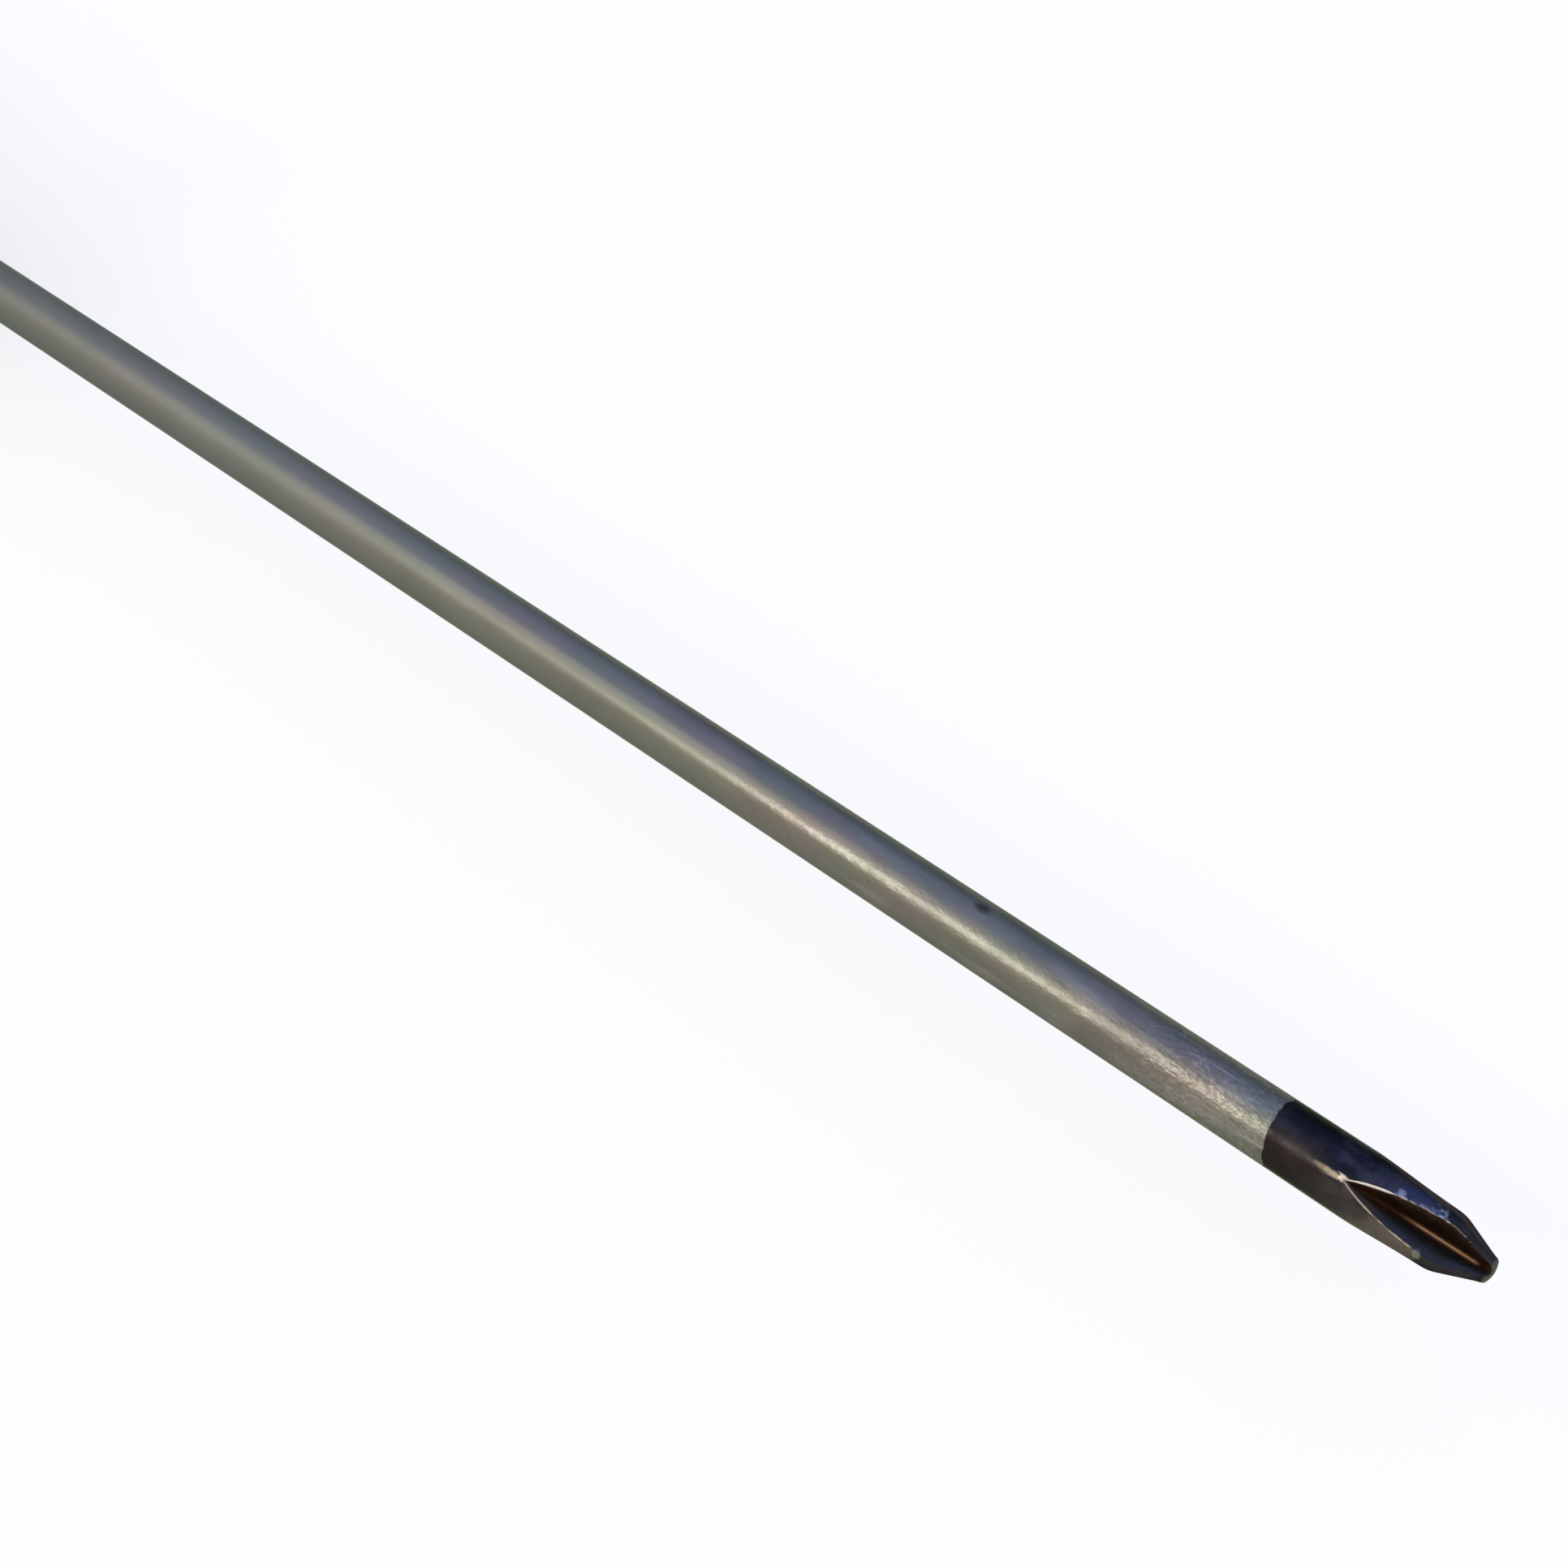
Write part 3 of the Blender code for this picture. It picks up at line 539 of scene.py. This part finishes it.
def disc_skin(look):
    """The disc: peg, front, rounded rim, face, and the raised cross, whose outline is the further
    of two bars, max(min(s / |cos|, w / |sin|), min(s / |sin|, w / |cos|))."""
    corner = np.arctan2(CROSS_HALF_WIDTH, CROSS_HALF_SPAN)
    eighth = np.concatenate([np.linspace(0, corner, 5)[:-1], np.linspace(corner, np.pi / 4, 9)[:-1]])
    quarter = np.concatenate([eighth, np.pi / 2 - np.append(eighth[1:], np.pi / 4)[::-1]])
    turn = np.concatenate([quarter + k * np.pi / 2 for k in range(4)])[None, :]
    cos, sin = np.abs(np.cos(turn)) + 1e-9, np.abs(np.sin(turn)) + 1e-9
    upright = np.minimum(CROSS_HALF_SPAN / cos, CROSS_HALF_WIDTH / sin)
    cross = np.maximum(upright, np.minimum(CROSS_HALF_SPAN / sin, CROSS_HALF_WIDTH / cos))
    lathe = [
        (DISC_FRONT - PEG_LENGTH, PEG_RADIUS),
        (DISC_FRONT, PEG_RADIUS),
        (DISC_FRONT, DISC_RADIUS),
        (DISC_FACE - 0.2 * MM, DISC_RADIUS),
        (DISC_FACE - 0.06 * MM, DISC_RADIUS - 0.06 * MM),
        (DISC_FACE, DISC_RADIUS - 0.2 * MM),
        (DISC_FACE, 6.2 * MM),
    ]
    top = DISC_FACE + CROSS_HEIGHT
    raised = [(DISC_FACE, 0.12 * MM), (DISC_FACE + 0.04 * MM, 0.03 * MM), (top - 0.08 * MM, 0.0)]
    raised += [(top - 0.02 * MM, -0.04 * MM), (top, -0.1 * MM)]
    depth = np.array([d for d, _ in lathe + raised] + [top])[:, None]
    radius = np.concatenate(
        [
            np.repeat([[r] for _, r in lathe], turn.shape[1], axis=1),
            np.concatenate([cross + spread for _, spread in raised]),
            (cross - 0.1 * MM) * 0.4,
        ]
    )
    x = np.broadcast_to(-depth, radius.shape)
    rings = np.stack([x, radius * np.sin(turn), radius * np.cos(turn)], axis=-1)
    marks = {"raised": np.broadcast_to(np.clip((depth - DISC_FACE) / (0.1 * MM), 0.0, 1.0), radius.shape)}
    rings = settled(rings)
    return skin("disc_and_cross", rings, look, ["cap_disc"], sharp=30, marks=marks)


# Finishes


class Wire:
    """A shader value: arithmetic on it adds the Math node that does it."""

    def __init__(self, look, socket):
        self.look, self.socket = look, socket

    def maths(self, operation, *values):
        return self.look.node("ShaderNodeMath", {"operation": operation}, dict(enumerate(values)))

    def __add__(self, other):
        return self.maths("ADD", self, other)

    __radd__ = __add__

    def __sub__(self, other):
        return self.maths("SUBTRACT", self, other)

    def __rsub__(self, other):
        return self.maths("SUBTRACT", other, self)

    def __mul__(self, other):
        return self.maths("MULTIPLY", self, other)

    __rmul__ = __mul__


class Look:
    """A material in the making, with the few ways its nodes are added."""

    def __init__(self, name, tree=None):
        if tree is None:
            self.material = bpy.data.materials.new(name)
            self.material.use_nodes = True
            tree = self.material.node_tree
            self.shader = tree.nodes["Principled BSDF"]
        self.tree = tree

    def node(self, kind, settings=None, inputs=None, output=0):
        """Adds a node of a type, sets its settings, and then its inputs from values or wires."""
        made = self.tree.nodes.new(kind)
        for setting, value in (settings or {}).items():
            setattr(made, setting, value)
        for name, value in (inputs or {}).items():
            if isinstance(value, Wire):
                self.tree.links.new(value.socket, made.inputs[name])
            else:
                made.inputs[name].default_value = value
        return Wire(self, made.outputs[output])

    def set(self, **constants):
        """Constants for the shader's own sockets, named in lower case with underscores."""
        for name, value in constants.items():
            title = name.replace("_", " ").title().replace("Ior", "IOR")
            self.shader.inputs[title].default_value = value

    def feed(self, socket, wire):
        self.tree.links.new(wire.socket, self.shader.inputs[socket])

    def place(self, scale=(1.0, 1.0, 1.0), shift=(0.0, 0.0, 0.0)):
        """Object coordinates, scaled and shifted."""
        spot = self.node("ShaderNodeTexCoord", output="Object")
        return self.node("ShaderNodeMapping", None, {"Vector": spot, "Scale": scale, "Location": shift})

    def noise(self, scale, squeeze=(1.0, 1.0, 1.0), detail=2.0, roughness=0.5, shift=0.0):
        """Noise from 0 to 1 with features about 1 / scale metres across, squeezed along each axis."""
        place = self.place(squeeze, (shift, shift, shift))
        inputs = {"Vector": place, "Scale": scale, "Detail": detail, "Roughness": roughness}
        return self.node("ShaderNodeTexNoise", None, inputs, "Fac")

    def ease(self, value, low, high, start=0.0, end=1.0):
        """A smooth step of a value from low to high, as start to end."""
        inputs = {"Value": value, "From Min": low, "From Max": high, "To Min": start, "To Max": end}
        settings = {"interpolation_type": "SMOOTHSTEP"}
        return self.node("ShaderNodeMapRange", settings, inputs)

    def mix(self, share, first, second):
        """From one colour to another by a share."""
        inputs = {0: share}
        for key, value in ((6, first), (7, second)):
            inputs[key] = value if isinstance(value, Wire) else (*value, 1.0)
        return self.node("ShaderNodeMix", {"data_type": "RGBA"}, inputs, 2)

    def ramp(self, value, *stops):
        """Colours (place, colour) in rising order, joined by straight lines."""
        made = self.node("ShaderNodeValToRGB", None, {"Fac": value})
        elements = made.socket.node.color_ramp.elements
        elements.remove(elements[1])
        elements[0].position, elements[0].color = stops[0][0], (*stops[0][1], 1.0)
        for place, colour in stops[1:]:
            elements.new(place).color = (*colour, 1.0)
        return made

    def mark(self, name):
        """Numbers that were kept for each point of the skin."""
        return self.node("ShaderNodeAttribute", {"attribute_name": name}, None, "Fac")

    def axis(self, letter):
        """One of the Object coordinates."""
        spot = self.node("ShaderNodeTexCoord", output="Object")
        return self.node("ShaderNodeSeparateXYZ", None, {0: spot}, letter)

    def away(self, point, scale):
        """Distance from a point, with each axis scaled."""
        middle = tuple(-p * k for p, k in zip(point, scale))
        spot = self.place(scale, middle)
        return self.node("ShaderNodeVectorMath", {"operation": "LENGTH"}, {0: spot}, "Value")

    def bump(self, height, distance, strength=1.0, over=None):
        """Relief of a depth in metres, over other relief."""
        inputs = {"Height": height, "Distance": distance, "Strength": strength}
        if over is not None:
            inputs["Normal"] = over
        return self.node("ShaderNodeBump", None, inputs)


class Steel(Look):
    """The blade's steel, with the patterns that its plate, its oxide and its relief share."""

    def __init__(self):
        super().__init__("plated_steel")
        self.x, self.y, self.z = self.axis("X"), self.axis("Y"), self.axis("Z")
        self.ragged = self.noise(1800.0, detail=3.0) * 0.00025 + self.noise(420.0, shift=3.0) * 0.0005
        self.worked = self.ease(self.x, 0.05, 0.125)
        self.pitted = self.ease(self.x, 0.124, 0.134)
        self.brushed = self.noise(1.0, (110.0, 9000.0, 9000.0), detail=3.0, roughness=0.6)
        self.pits = self.noise(1900.0, (0.6, 1.0, 1.0), detail=2.0, roughness=0.6, shift=0.4)
        self.patch = self.noise(260.0, (0.6, 1.0, 1.0), detail=4.0, roughness=0.6, shift=11.0)
        self.fleck = self.noise(3300.0, (0.6, 1.0, 1.0), detail=2.0, shift=13.0)
        nick = self.away(NICK, (0.7, 1.0, 1.0)) + self.pits * 0.0003
        self.nick_with_painted_shade = self.ease(nick, 0.00095, 0.0003)
        side = self.y * np.cos(FLUTE_TURN) + (self.z - AXIS_Z) * np.sin(FLUTE_TURN)
        self.above = self.ease(side, -0.00005, 0.00005)

    def plate(self):
        """Satin plate in rosy and mossy clouds, with a cooler tint by the handle painted for the softer
        light there, and with streaks, scores, specks and scratches that grow towards the point, bright
        flecks near it that are painted sparkle, and a dent painted dark, partly as its own shade."""
        x, worked, pitted, fleck = self.x, self.worked, self.pitted, self.fleck
        cloud = self.noise(330.0, (0.4, 1.0, 1.0), detail=4.0, roughness=0.6, shift=1.3)
        hue = self.ease(self.noise(240.0, (0.5, 1.0, 1.0), detail=3.0, shift=7.7), 0.38, 0.62)
        rosy = self.mix(cloud, (0.142, 0.128, 0.108), (0.2, 0.178, 0.158))
        mossy = self.mix(cloud, (0.128, 0.135, 0.103), (0.184, 0.184, 0.152))
        plate = self.mix(hue, rosy, mossy)
        plate = self.mix(self.ease(self.patch, 0.44, 0.6) * worked * 0.22, plate, (0.1, 0.096, 0.082))
        # Cooler towards the handle: a painted tint for the softer light on that end.
        plate = self.mix(self.ease(x, 0.09, 0.0) * 0.5, plate, (0.155, 0.17, 0.158))
        streaked = self.ease(self.noise(620.0, (0.16, 1.0, 1.0), detail=3.0, shift=9.0), 0.5, 0.72)
        plate = self.mix(worked * streaked * 0.4, plate, (0.3, 0.28, 0.245))
        scored = self.ease(self.brushed, 0.56, 0.74)
        plate = self.mix(worked * scored * 0.3, plate, (0.1, 0.092, 0.08))
        speck = self.noise(1500.0, (0.6, 1.0, 1.0), detail=2.0, shift=2.1)
        plate = self.mix(self.ease(speck, 0.73, 0.78) * worked * 0.6, plate, (0.05, 0.045, 0.04))
        # Bright flecks on the pitted steel near the point are painted sparkle; the dark ones below are
        # pits.
        plate = self.mix(self.ease(fleck, 0.56, 0.68) * pitted * 0.22, plate, (0.46, 0.44, 0.38))
        plate = self.mix(self.ease(fleck, 0.44, 0.34) * pitted * 0.3, plate, (0.07, 0.068, 0.058))
        scratch = self.noise(2600.0, (0.035, 1.0, 1.0), detail=2.0, shift=17.0)
        plate = self.mix(self.ease(scratch, 0.62, 0.7) * pitted * 0.45, plate, (0.42, 0.38, 0.34))
        # The dent, painted dark partly as its own shade.
        return self.mix(self.nick_with_painted_shade * 0.75, plate, (0.03, 0.03, 0.036))

    def oxide(self):
        """Dark blotched oxide, with the sky's blue painted on above as a reflection, one painted blue
        sheen, and the floor's brown painted on below; darker at the plate as painted shade against the
        lamp's sheen, and on the cone, partly less burnished and partly painted shade; with darker walls in
        the flutes, painted red-brown above and navy below as reflections."""
        x, glow = self.x, self.mark("glow")
        tint = self.noise(230.0, (0.6, 1.0, 1.0), detail=4.0, roughness=0.6, shift=4.2)
        blotch = self.ease(self.noise(560.0, (0.7, 1.0, 1.0), detail=4.0, shift=5.5), 0.36, 0.66)
        # Painted reflection: the oxide's own dark blotches, in the sky's blue where the blade faces up.
        oxide_and_painted_sky = self.mix(blotch, (0.012, 0.013, 0.021), (0.043, 0.041, 0.054))
        # Painted sheen: one brighter blue place on top of the point.
        painted_blue_sheen = self.away(PAINTED_BLUE_SHEEN, (0.4, 1.0, 1.0)) + blotch * 0.0003
        oxide_and_painted_sky = self.mix(self.ease(painted_blue_sheen, 0.0011, 0.0005) * 0.6, oxide_and_painted_sky, (0.035, 0.05, 0.1))
        lighter = self.ease(tint, 0.3, 0.65) * self.ease(x, 0.147, 0.152, 0.02, 0.85) + blotch * 0.15
        # Painted reflection: the floor's brown below, over the oxide's own lighter and darker tone.
        oxide_and_painted_floor = self.mix(lighter, (0.03, 0.024, 0.024), (0.122, 0.101, 0.082))
        # The split by height between the two painted reflections sits higher near the plate.
        drop = self.ease(x, 0.1445, 0.1475, 0.0007, 0.0)
        oxide = self.mix(self.ease(self.z - drop, 0.0184, 0.0171), oxide_and_painted_sky, oxide_and_painted_floor)
        # Painted shade: darker oxide next to the plate, holding back the lamp's sheen there.
        oxide = self.mix(self.ease(x, 0.1478, 0.1452) * 0.5, oxide, (0.014, 0.011, 0.01))
        # The cone is darker: partly a less burnished finish, partly painted shade for the dark it reflects.
        cone = self.mix(blotch, (0.018, 0.017, 0.018), (0.036, 0.032, 0.034))
        oxide = self.mix(self.ease(x + self.ragged, 0.156, 0.1564), oxide, cone)
        # The flute walls are darker, as the oxide in the hollows is; the upper wall's red-brown and the
        # lower wall's navy are painted reflections of the floor and the sky, both warmer near the root.
        lower_wall = self.mix(self.ease(x, 0.1505, 0.153), (0.06, 0.042, 0.032), (0.042, 0.042, 0.044))
        lower_wall = self.mix(glow * 0.5, lower_wall, (0.08, 0.05, 0.036))
        upper_wall = self.mix(glow, (0.078, 0.042, 0.028), (0.12, 0.045, 0.02))
        return self.mix(self.mark("wall"), oxide, self.mix(self.above, lower_wall, upper_wall))

    def worn(self, oxide):
        """Marks on the oxide: bare worn edges whose brightness is partly a painted highlight, painted
        sparks by the upper one, a paler patch on a crest, a painted tan highlight and a painted highlight
        at the apex where the flute begins, a painted highlight along the root, and the worn end, painted
        lighter below as reflected light."""
        x, above = self.x, self.above
        chipped = self.noise(1500.0, (0.5, 1.0, 1.0), detail=3.0, roughness=0.7, shift=6.0)
        edge = self.mark("edge")
        # Bare, worn steel on the flute edges. Its brightness and width along x, and front, which keeps the
        # brightest edges to the side facing the camera, are a painted highlight.
        front = above * self.ease(self.y, 0.0007, 0.0004)
        upper_wear_and_highlight = self.ease(x, 0.1491, 0.15, 1.0, 2.1) - self.ease(x, 0.1511, 0.1522) * 1.35
        upper_wear_and_highlight = upper_wear_and_highlight - self.ease(x, 0.1584, 0.1592) * 0.4
        lower_wear_and_highlight = 0.9 - self.ease(x, 0.1512, 0.1516) * 0.15 - self.ease(x, 0.1555, 0.1561) * 0.6
        upper_bare_and_highlight = self.ease(edge * upper_wear_and_highlight + chipped * 0.9, 1.12, 1.34) * front
        lower_bare_and_highlight = self.ease(edge * lower_wear_and_highlight + chipped * 0.9, 1.05, 1.3)
        lower_bare_and_highlight = lower_bare_and_highlight * (1 - above * 0.75 - front * 0.25)
        oxide = self.mix(lower_bare_and_highlight, oxide, (0.48, 0.37, 0.22))
        oxide = self.mix(upper_bare_and_highlight, oxide, (0.68, 0.63, 0.58))
        # Painted highlights: blue-white sparks on the crest beside the upper edge, and two brighter places.
        painted_glints = self.ease(x, 0.1518, 0.1525) * self.ease(x, 0.1566, 0.1559) * front
        painted_glints = self.mark("brink") * self.ease(chipped, 0.4, 0.58) * painted_glints
        oxide = self.mix(painted_glints * 0.7, oxide, (0.3, 0.32, 0.36))
        for middle, reach in PAINTED_GLINTS:
            off = self.away(middle, (0.8, 1.0, 1.0)) + self.fleck * 0.0005
            painted_glint = self.ease(off, reach + 0.0002, reach)
            oxide = self.mix(painted_glint * self.ease(chipped, 0.38, 0.52) * 0.7, oxide, (0.29, 0.32, 0.37))
        # A paler grey-brown patch on a crest near the cone.
        crest = self.away(PALE_CREST, (1.2, 1.0, 1.0)) + chipped * 0.0006
        oxide = self.mix(self.ease(crest, 0.0008, 0.0005) * 0.5, oxide, (0.28, 0.25, 0.2))
        # Painted highlight: the lamp's tan sheen on the oxide, leading into the flute's apex.
        tan_highlight = self.away(TAN_HIGHLIGHT, (0.14, 1.0, 1.0)) + chipped * 0.00045
        share = self.ease(tan_highlight, 0.00056, 0.00032) * self.ease(x, 0.1446, 0.1482, 0.15, 0.9)
        oxide = self.mix(share, oxide, (0.19, 0.16, 0.115))
        # Painted highlight: bright cream spots at the flute's apex.
        apex = self.away(APEX, (0.5, 1.0, 1.0)) + chipped * 0.0012
        oxide = self.mix(self.ease(apex, 0.00092, 0.00072), oxide, (0.38, 0.34, 0.29))
        # Painted highlight along the flute's root, running from the middle of the flute to near the point.
        along = self.ease(x, 0.149, 0.1505) * 0.12 + self.ease(x, 0.1525, 0.1555) * 0.88
        line = self.mark("root") * (chipped * 0.6 + 0.7) * along * self.ease(x, 0.1601, 0.1592)
        oxide = self.mix(line, oxide, (0.52, 0.4, 0.285))
        # The worn, bare end, painted lighter below and darker on top as reflected light.
        end = self.mix(self.ease(self.z, 0.0164, 0.0153), (0.09, 0.085, 0.064), (0.18, 0.178, 0.15))
        return self.mix(self.ease(x + chipped * 0.0002, 0.16058, 0.16078), oxide, end)


def steel_look():
    """Satin plate and dark oxide on either side of a slanted, ragged line, brushed and pocked."""
    steel = Steel()
    slanted = steel.x + (steel.z - AXIS_Z - SHAFT) * 0.22 + steel.ragged
    dark = steel.ease(slanted, FINISH_LINE + 0.00032, FINISH_LINE + 0.00043)
    steel.feed("Base Color", steel.mix(dark, steel.plate(), steel.worn(steel.oxide())))
    satin = steel.noise(700.0, (0.2, 1.0, 1.0), detail=4.0, shift=5.0) * 0.1
    satin = satin + steel.patch * steel.worked * 0.24
    satin = satin + steel.ease(steel.x, 0.1, 0.01, 0.17, 0.34)
    glossy = steel.noise(1400.0, detail=3.0, shift=7.0) * 0.16 + 0.2
    steel.feed("Roughness", satin * (1 - dark) + glossy * dark)
    grain = steel.noise(4200.0, (0.4, 1.0, 1.0), detail=3.0, roughness=0.6)
    relief = steel.bump(steel.brushed, 0.00001, 0.35)
    relief = steel.bump(steel.patch * steel.worked, 0.0001, 0.8, over=relief)
    pocks = grain * 0.3 + steel.pits * 0.7 + steel.fleck * steel.pitted * 0.9
    relief = steel.bump(pocks * steel.worked * (1 - dark), 0.00006, 0.7, over=relief)
    relief = steel.bump(steel.nick_with_painted_shade, -0.0001, 0.6, over=relief)
    steel.feed("Normal", steel.bump(grain * dark, 0.000015, 0.4, over=relief))
    steel.set(metallic=1.0, specular_tint=(0.5, 0.54, 0.46, 1.0))
    return steel.material


def moulding_look(name, low, high, roughness, coat=0.0):
    """A hard moulding: a little flow in its colour, a fine skin, hairline scuffs, and the mould's
    parting line along both of its sides."""
    look = Look(name)
    straight = NOSE_X - HANDLE_END + CAP_ROUND
    side = look.ease(look.axis("X"), straight + 0.2 * MM, straight + MM)
    height = look.axis("Z") - AXIS_Z
    parting = look.ease(height * height, 1.6e-8, 0.2e-8) * side
    flow = look.noise(45.0, (0.4, 1.0, 1.0), detail=3.0)
    scuff = look.noise(1.0, (900.0, 6500.0, 2600.0), detail=4.0, roughness=0.7, shift=2.0)
    rub = look.ease(scuff, 0.62, 0.78)
    look.feed("Base Color", look.mix(rub * 0.12, look.mix(flow, low, high), (0.5, 0.5, 0.5)))
    fine = look.noise(5200.0, detail=3.0, shift=1.0)
    look.feed("Roughness", fine * 0.08 + rub * 0.14 + look.noise(130.0, shift=5.0) * 0.08 + roughness)
    skin_relief = look.bump(fine, 0.00001, 0.5)
    flowed = look.bump(look.noise(160.0, shift=8.0), 0.00006, 0.35, over=skin_relief)
    look.feed("Normal", look.bump(parting, 0.00006, 0.8, over=flowed))
    look.set(coat_weight=coat, coat_roughness=0.12)
    return look.material


def soft_look():
    """Soft charcoal moulding: fine pebbled grain, dusty hollows and slightly polished rims."""
    look = Look("soft_charcoal")
    grain = look.node(
        "ShaderNodeTexVoronoi", {"feature": "SMOOTH_F1"}, {"Vector": look.place(), "Scale": 2600.0}
    )
    dust = look.noise(240.0, detail=4.0, roughness=0.6) * look.noise(1700.0, detail=3.0, shift=3.0)
    body = look.mix(look.noise(70.0, detail=3.0, shift=6.0), (0.014, 0.0145, 0.016), (0.022, 0.0225, 0.024))
    body = look.mix(look.mark("hollow") * dust * 0.8, body, (0.12, 0.116, 0.112))
    body = look.mix(look.mark("rim") * 0.25, body, (0.07, 0.07, 0.072))
    look.feed("Base Color", body)
    look.feed("Roughness", grain * 0.2 + look.mark("hollow") * 0.1 + 0.62)
    look.feed("Normal", look.bump(grain, 0.00006, 0.55))
    look.set(specular_ior_level=0.35)
    return look.material


def disc_look():
    """Pale disc with the raised cross in the body's blue."""
    look = Look("pale_disc")
    flow = look.noise(300.0, detail=3.0)
    pale = look.mix(flow, (0.5, 0.51, 0.52), (0.6, 0.61, 0.62))
    worn = look.ease(look.noise(2600.0, detail=3.0, shift=2.0), 0.6, 0.72)
    printed = look.ease(look.mark("raised"), 0.85, 0.97) * (1 - worn * 0.5)
    look.feed("Base Color", look.mix(printed, pale, (0.02, 0.12, 0.33)))
    fine = look.noise(4200.0, detail=3.0, shift=4.0)
    look.feed("Roughness", fine * 0.12 + 0.34)
    look.feed("Normal", look.bump(fine, 0.00001, 0.4))
    return look.material


# Room


def floor_look():
    """White paper that keeps part of the shadow: to the camera and in reflections it is mostly a
    white of strength 1, and light falls on it and comes off it as on any matt surface."""
    look = Look("pale_floor")
    grain = look.noise(60.0, detail=4.0)
    look.feed("Base Color", look.mix(grain, (0.88, 0.865, 0.83), (0.895, 0.88, 0.845)))
    look.set(roughness=0.9, specular_ior_level=0.1)
    rays = [look.node("ShaderNodeLightPath", output=f"Is {ray} Ray") for ray in ("Camera", "Glossy")]
    seen = rays[0] + rays[1] + look.node("ShaderNodeLightPath", output="Is Transmission Ray")
    white = look.node("ShaderNodeEmission", None, {"Color": (1.0, 1.0, 1.0, 1.0)})
    matt = Wire(look, look.shader.outputs[0])
    both = look.node("ShaderNodeMixShader", None, {0: seen * FLOOR_WHITE, 1: matt, 2: white})
    look.tree.links.new(both.socket, look.tree.nodes["Material Output"].inputs["Surface"])
    return look.material


def add_floor():
    """A square of pale floor, z = 0."""
    reach = 12.0
    corners = [(-reach, -reach, 0), (reach, -reach, 0), (reach, reach, 0), (-reach, reach, 0)]
    mesh = bpy.data.meshes.new("floor")
    mesh.from_pydata(corners, [], [(0, 1, 2, 3)])
    mesh.materials.append(floor_look())
    floor = bpy.data.objects.new("floor", mesh)
    bpy.context.scene.collection.objects.link(floor)


def add_lamp(name, azimuth, elevation, distance, size, strength, colour):
    """A round lamp that faces the blade, at an azimuth from -Y towards -X and an elevation, both in
    degrees. Its power is strength x pi x area, so that strength is its radiance."""
    a, e = np.radians(azimuth), np.radians(elevation)
    away = np.array([-np.sin(a) * np.cos(e), -np.cos(a) * np.cos(e), np.sin(e)])
    target = np.array([0.09, 0.0, AXIS_Z])
    light = bpy.data.lights.new(name, "AREA")
    light.shape, light.size = "DISK", size
    light.color = colour
    light.energy = strength * np.pi * (np.pi * size**2 / 4)
    lamp = bpy.data.objects.new(name, light)
    up = np.array([0.0, 0.0, 1.0])
    right = np.cross(up, away)
    right /= np.linalg.norm(right)
    lamp.matrix_world = matrix(right, np.cross(away, right), away, target + away * distance)
    bpy.context.scene.collection.objects.link(lamp)


def matrix(right, up, back, location):
    """The 4 x 4 matrix whose columns are three axes and a place."""
    columns = np.stack([right, up, back, location], axis=1)
    return Matrix([*columns.tolist(), [0.0, 0.0, 0.0, 1.0]])


def add_sky():
    """Room light by direction, warm in front and to the sides and cool behind."""
    world = bpy.data.worlds.new("room")
    world.use_nodes = True
    bpy.context.scene.world = world
    look = Look("room", world.node_tree)
    spot = look.node("ShaderNodeTexCoord", output="Generated")
    colour = look.ramp(
        look.node("ShaderNodeSeparateXYZ", None, {0: spot}, "Y") * -0.5 + 0.5,
        (0.0, (0.2, 0.26, 0.34)),
        (0.08, (0.27, 0.35, 0.54)),
        (0.23, (0.43, 0.53, 0.93)),
        (0.5, (0.58, 0.66, 0.99)),
        (0.77, (0.82, 0.79, 0.76)),
        (1.0, (0.8, 0.73, 0.6)),
    )
    across = look.node("ShaderNodeSeparateXYZ", None, {0: spot}, "X")
    sideways = look.ease(across * across, 0.15, 0.9)
    colour = look.mix(sideways, colour, (0.8, 0.76, 0.68))
    background = world.node_tree.nodes["Background"]
    world.node_tree.links.new(colour.socket, background.inputs["Color"])
    background.inputs["Strength"].default_value = ROOM_STRENGTH


def add_camera():
    """The photograph's view, from the fit of the shaft's two edges and the point."""
    data = bpy.data.cameras.new("camera")
    data.sensor_width = 36.0
    data.lens = data.sensor_width * FOCAL_PIXELS / PICTURE_PIXELS
    data.clip_start = 0.005
    camera = bpy.data.objects.new("camera", data)
    camera.matrix_world = matrix(
        right=(0.759277, 0.650767, 0.0),
        up=(-0.494626, 0.5771, 0.649846),
        back=(0.422899, -0.493414, 0.760066),
        location=(0.169464, -0.093236, 0.162795),
    )
    bpy.context.scene.collection.objects.link(camera)
    bpy.context.scene.camera = camera


def main():
    blade_skin(steel_look())
    black = moulding_look("black_moulding", (0.013, 0.0135, 0.016), (0.021, 0.022, 0.025), 0.34)
    core_skin(black)
    cap_skin(black)
    body_skin(moulding_look("blue_moulding", (0.014, 0.105, 0.31), (0.02, 0.13, 0.37), 0.24, 0.3))
    soft = soft_look()
    for number in range(1, 7):
        pad_skin(number, soft)
    disc_skin(disc_look())
    add_floor()
    add_sky()
    window, fill = (1.0, 0.98, 0.95), (1.0, 0.98, 0.98)
    add_lamp("window", 20.5, 39.0, distance=1.2, size=0.4, strength=7.5, colour=window)
    add_lamp("fill", 56.0, 46.0, distance=1.6, size=1.1, strength=0.75, colour=fill)
    add_camera()
    bpy.context.scene.view_settings.view_transform = "Standard"


main()
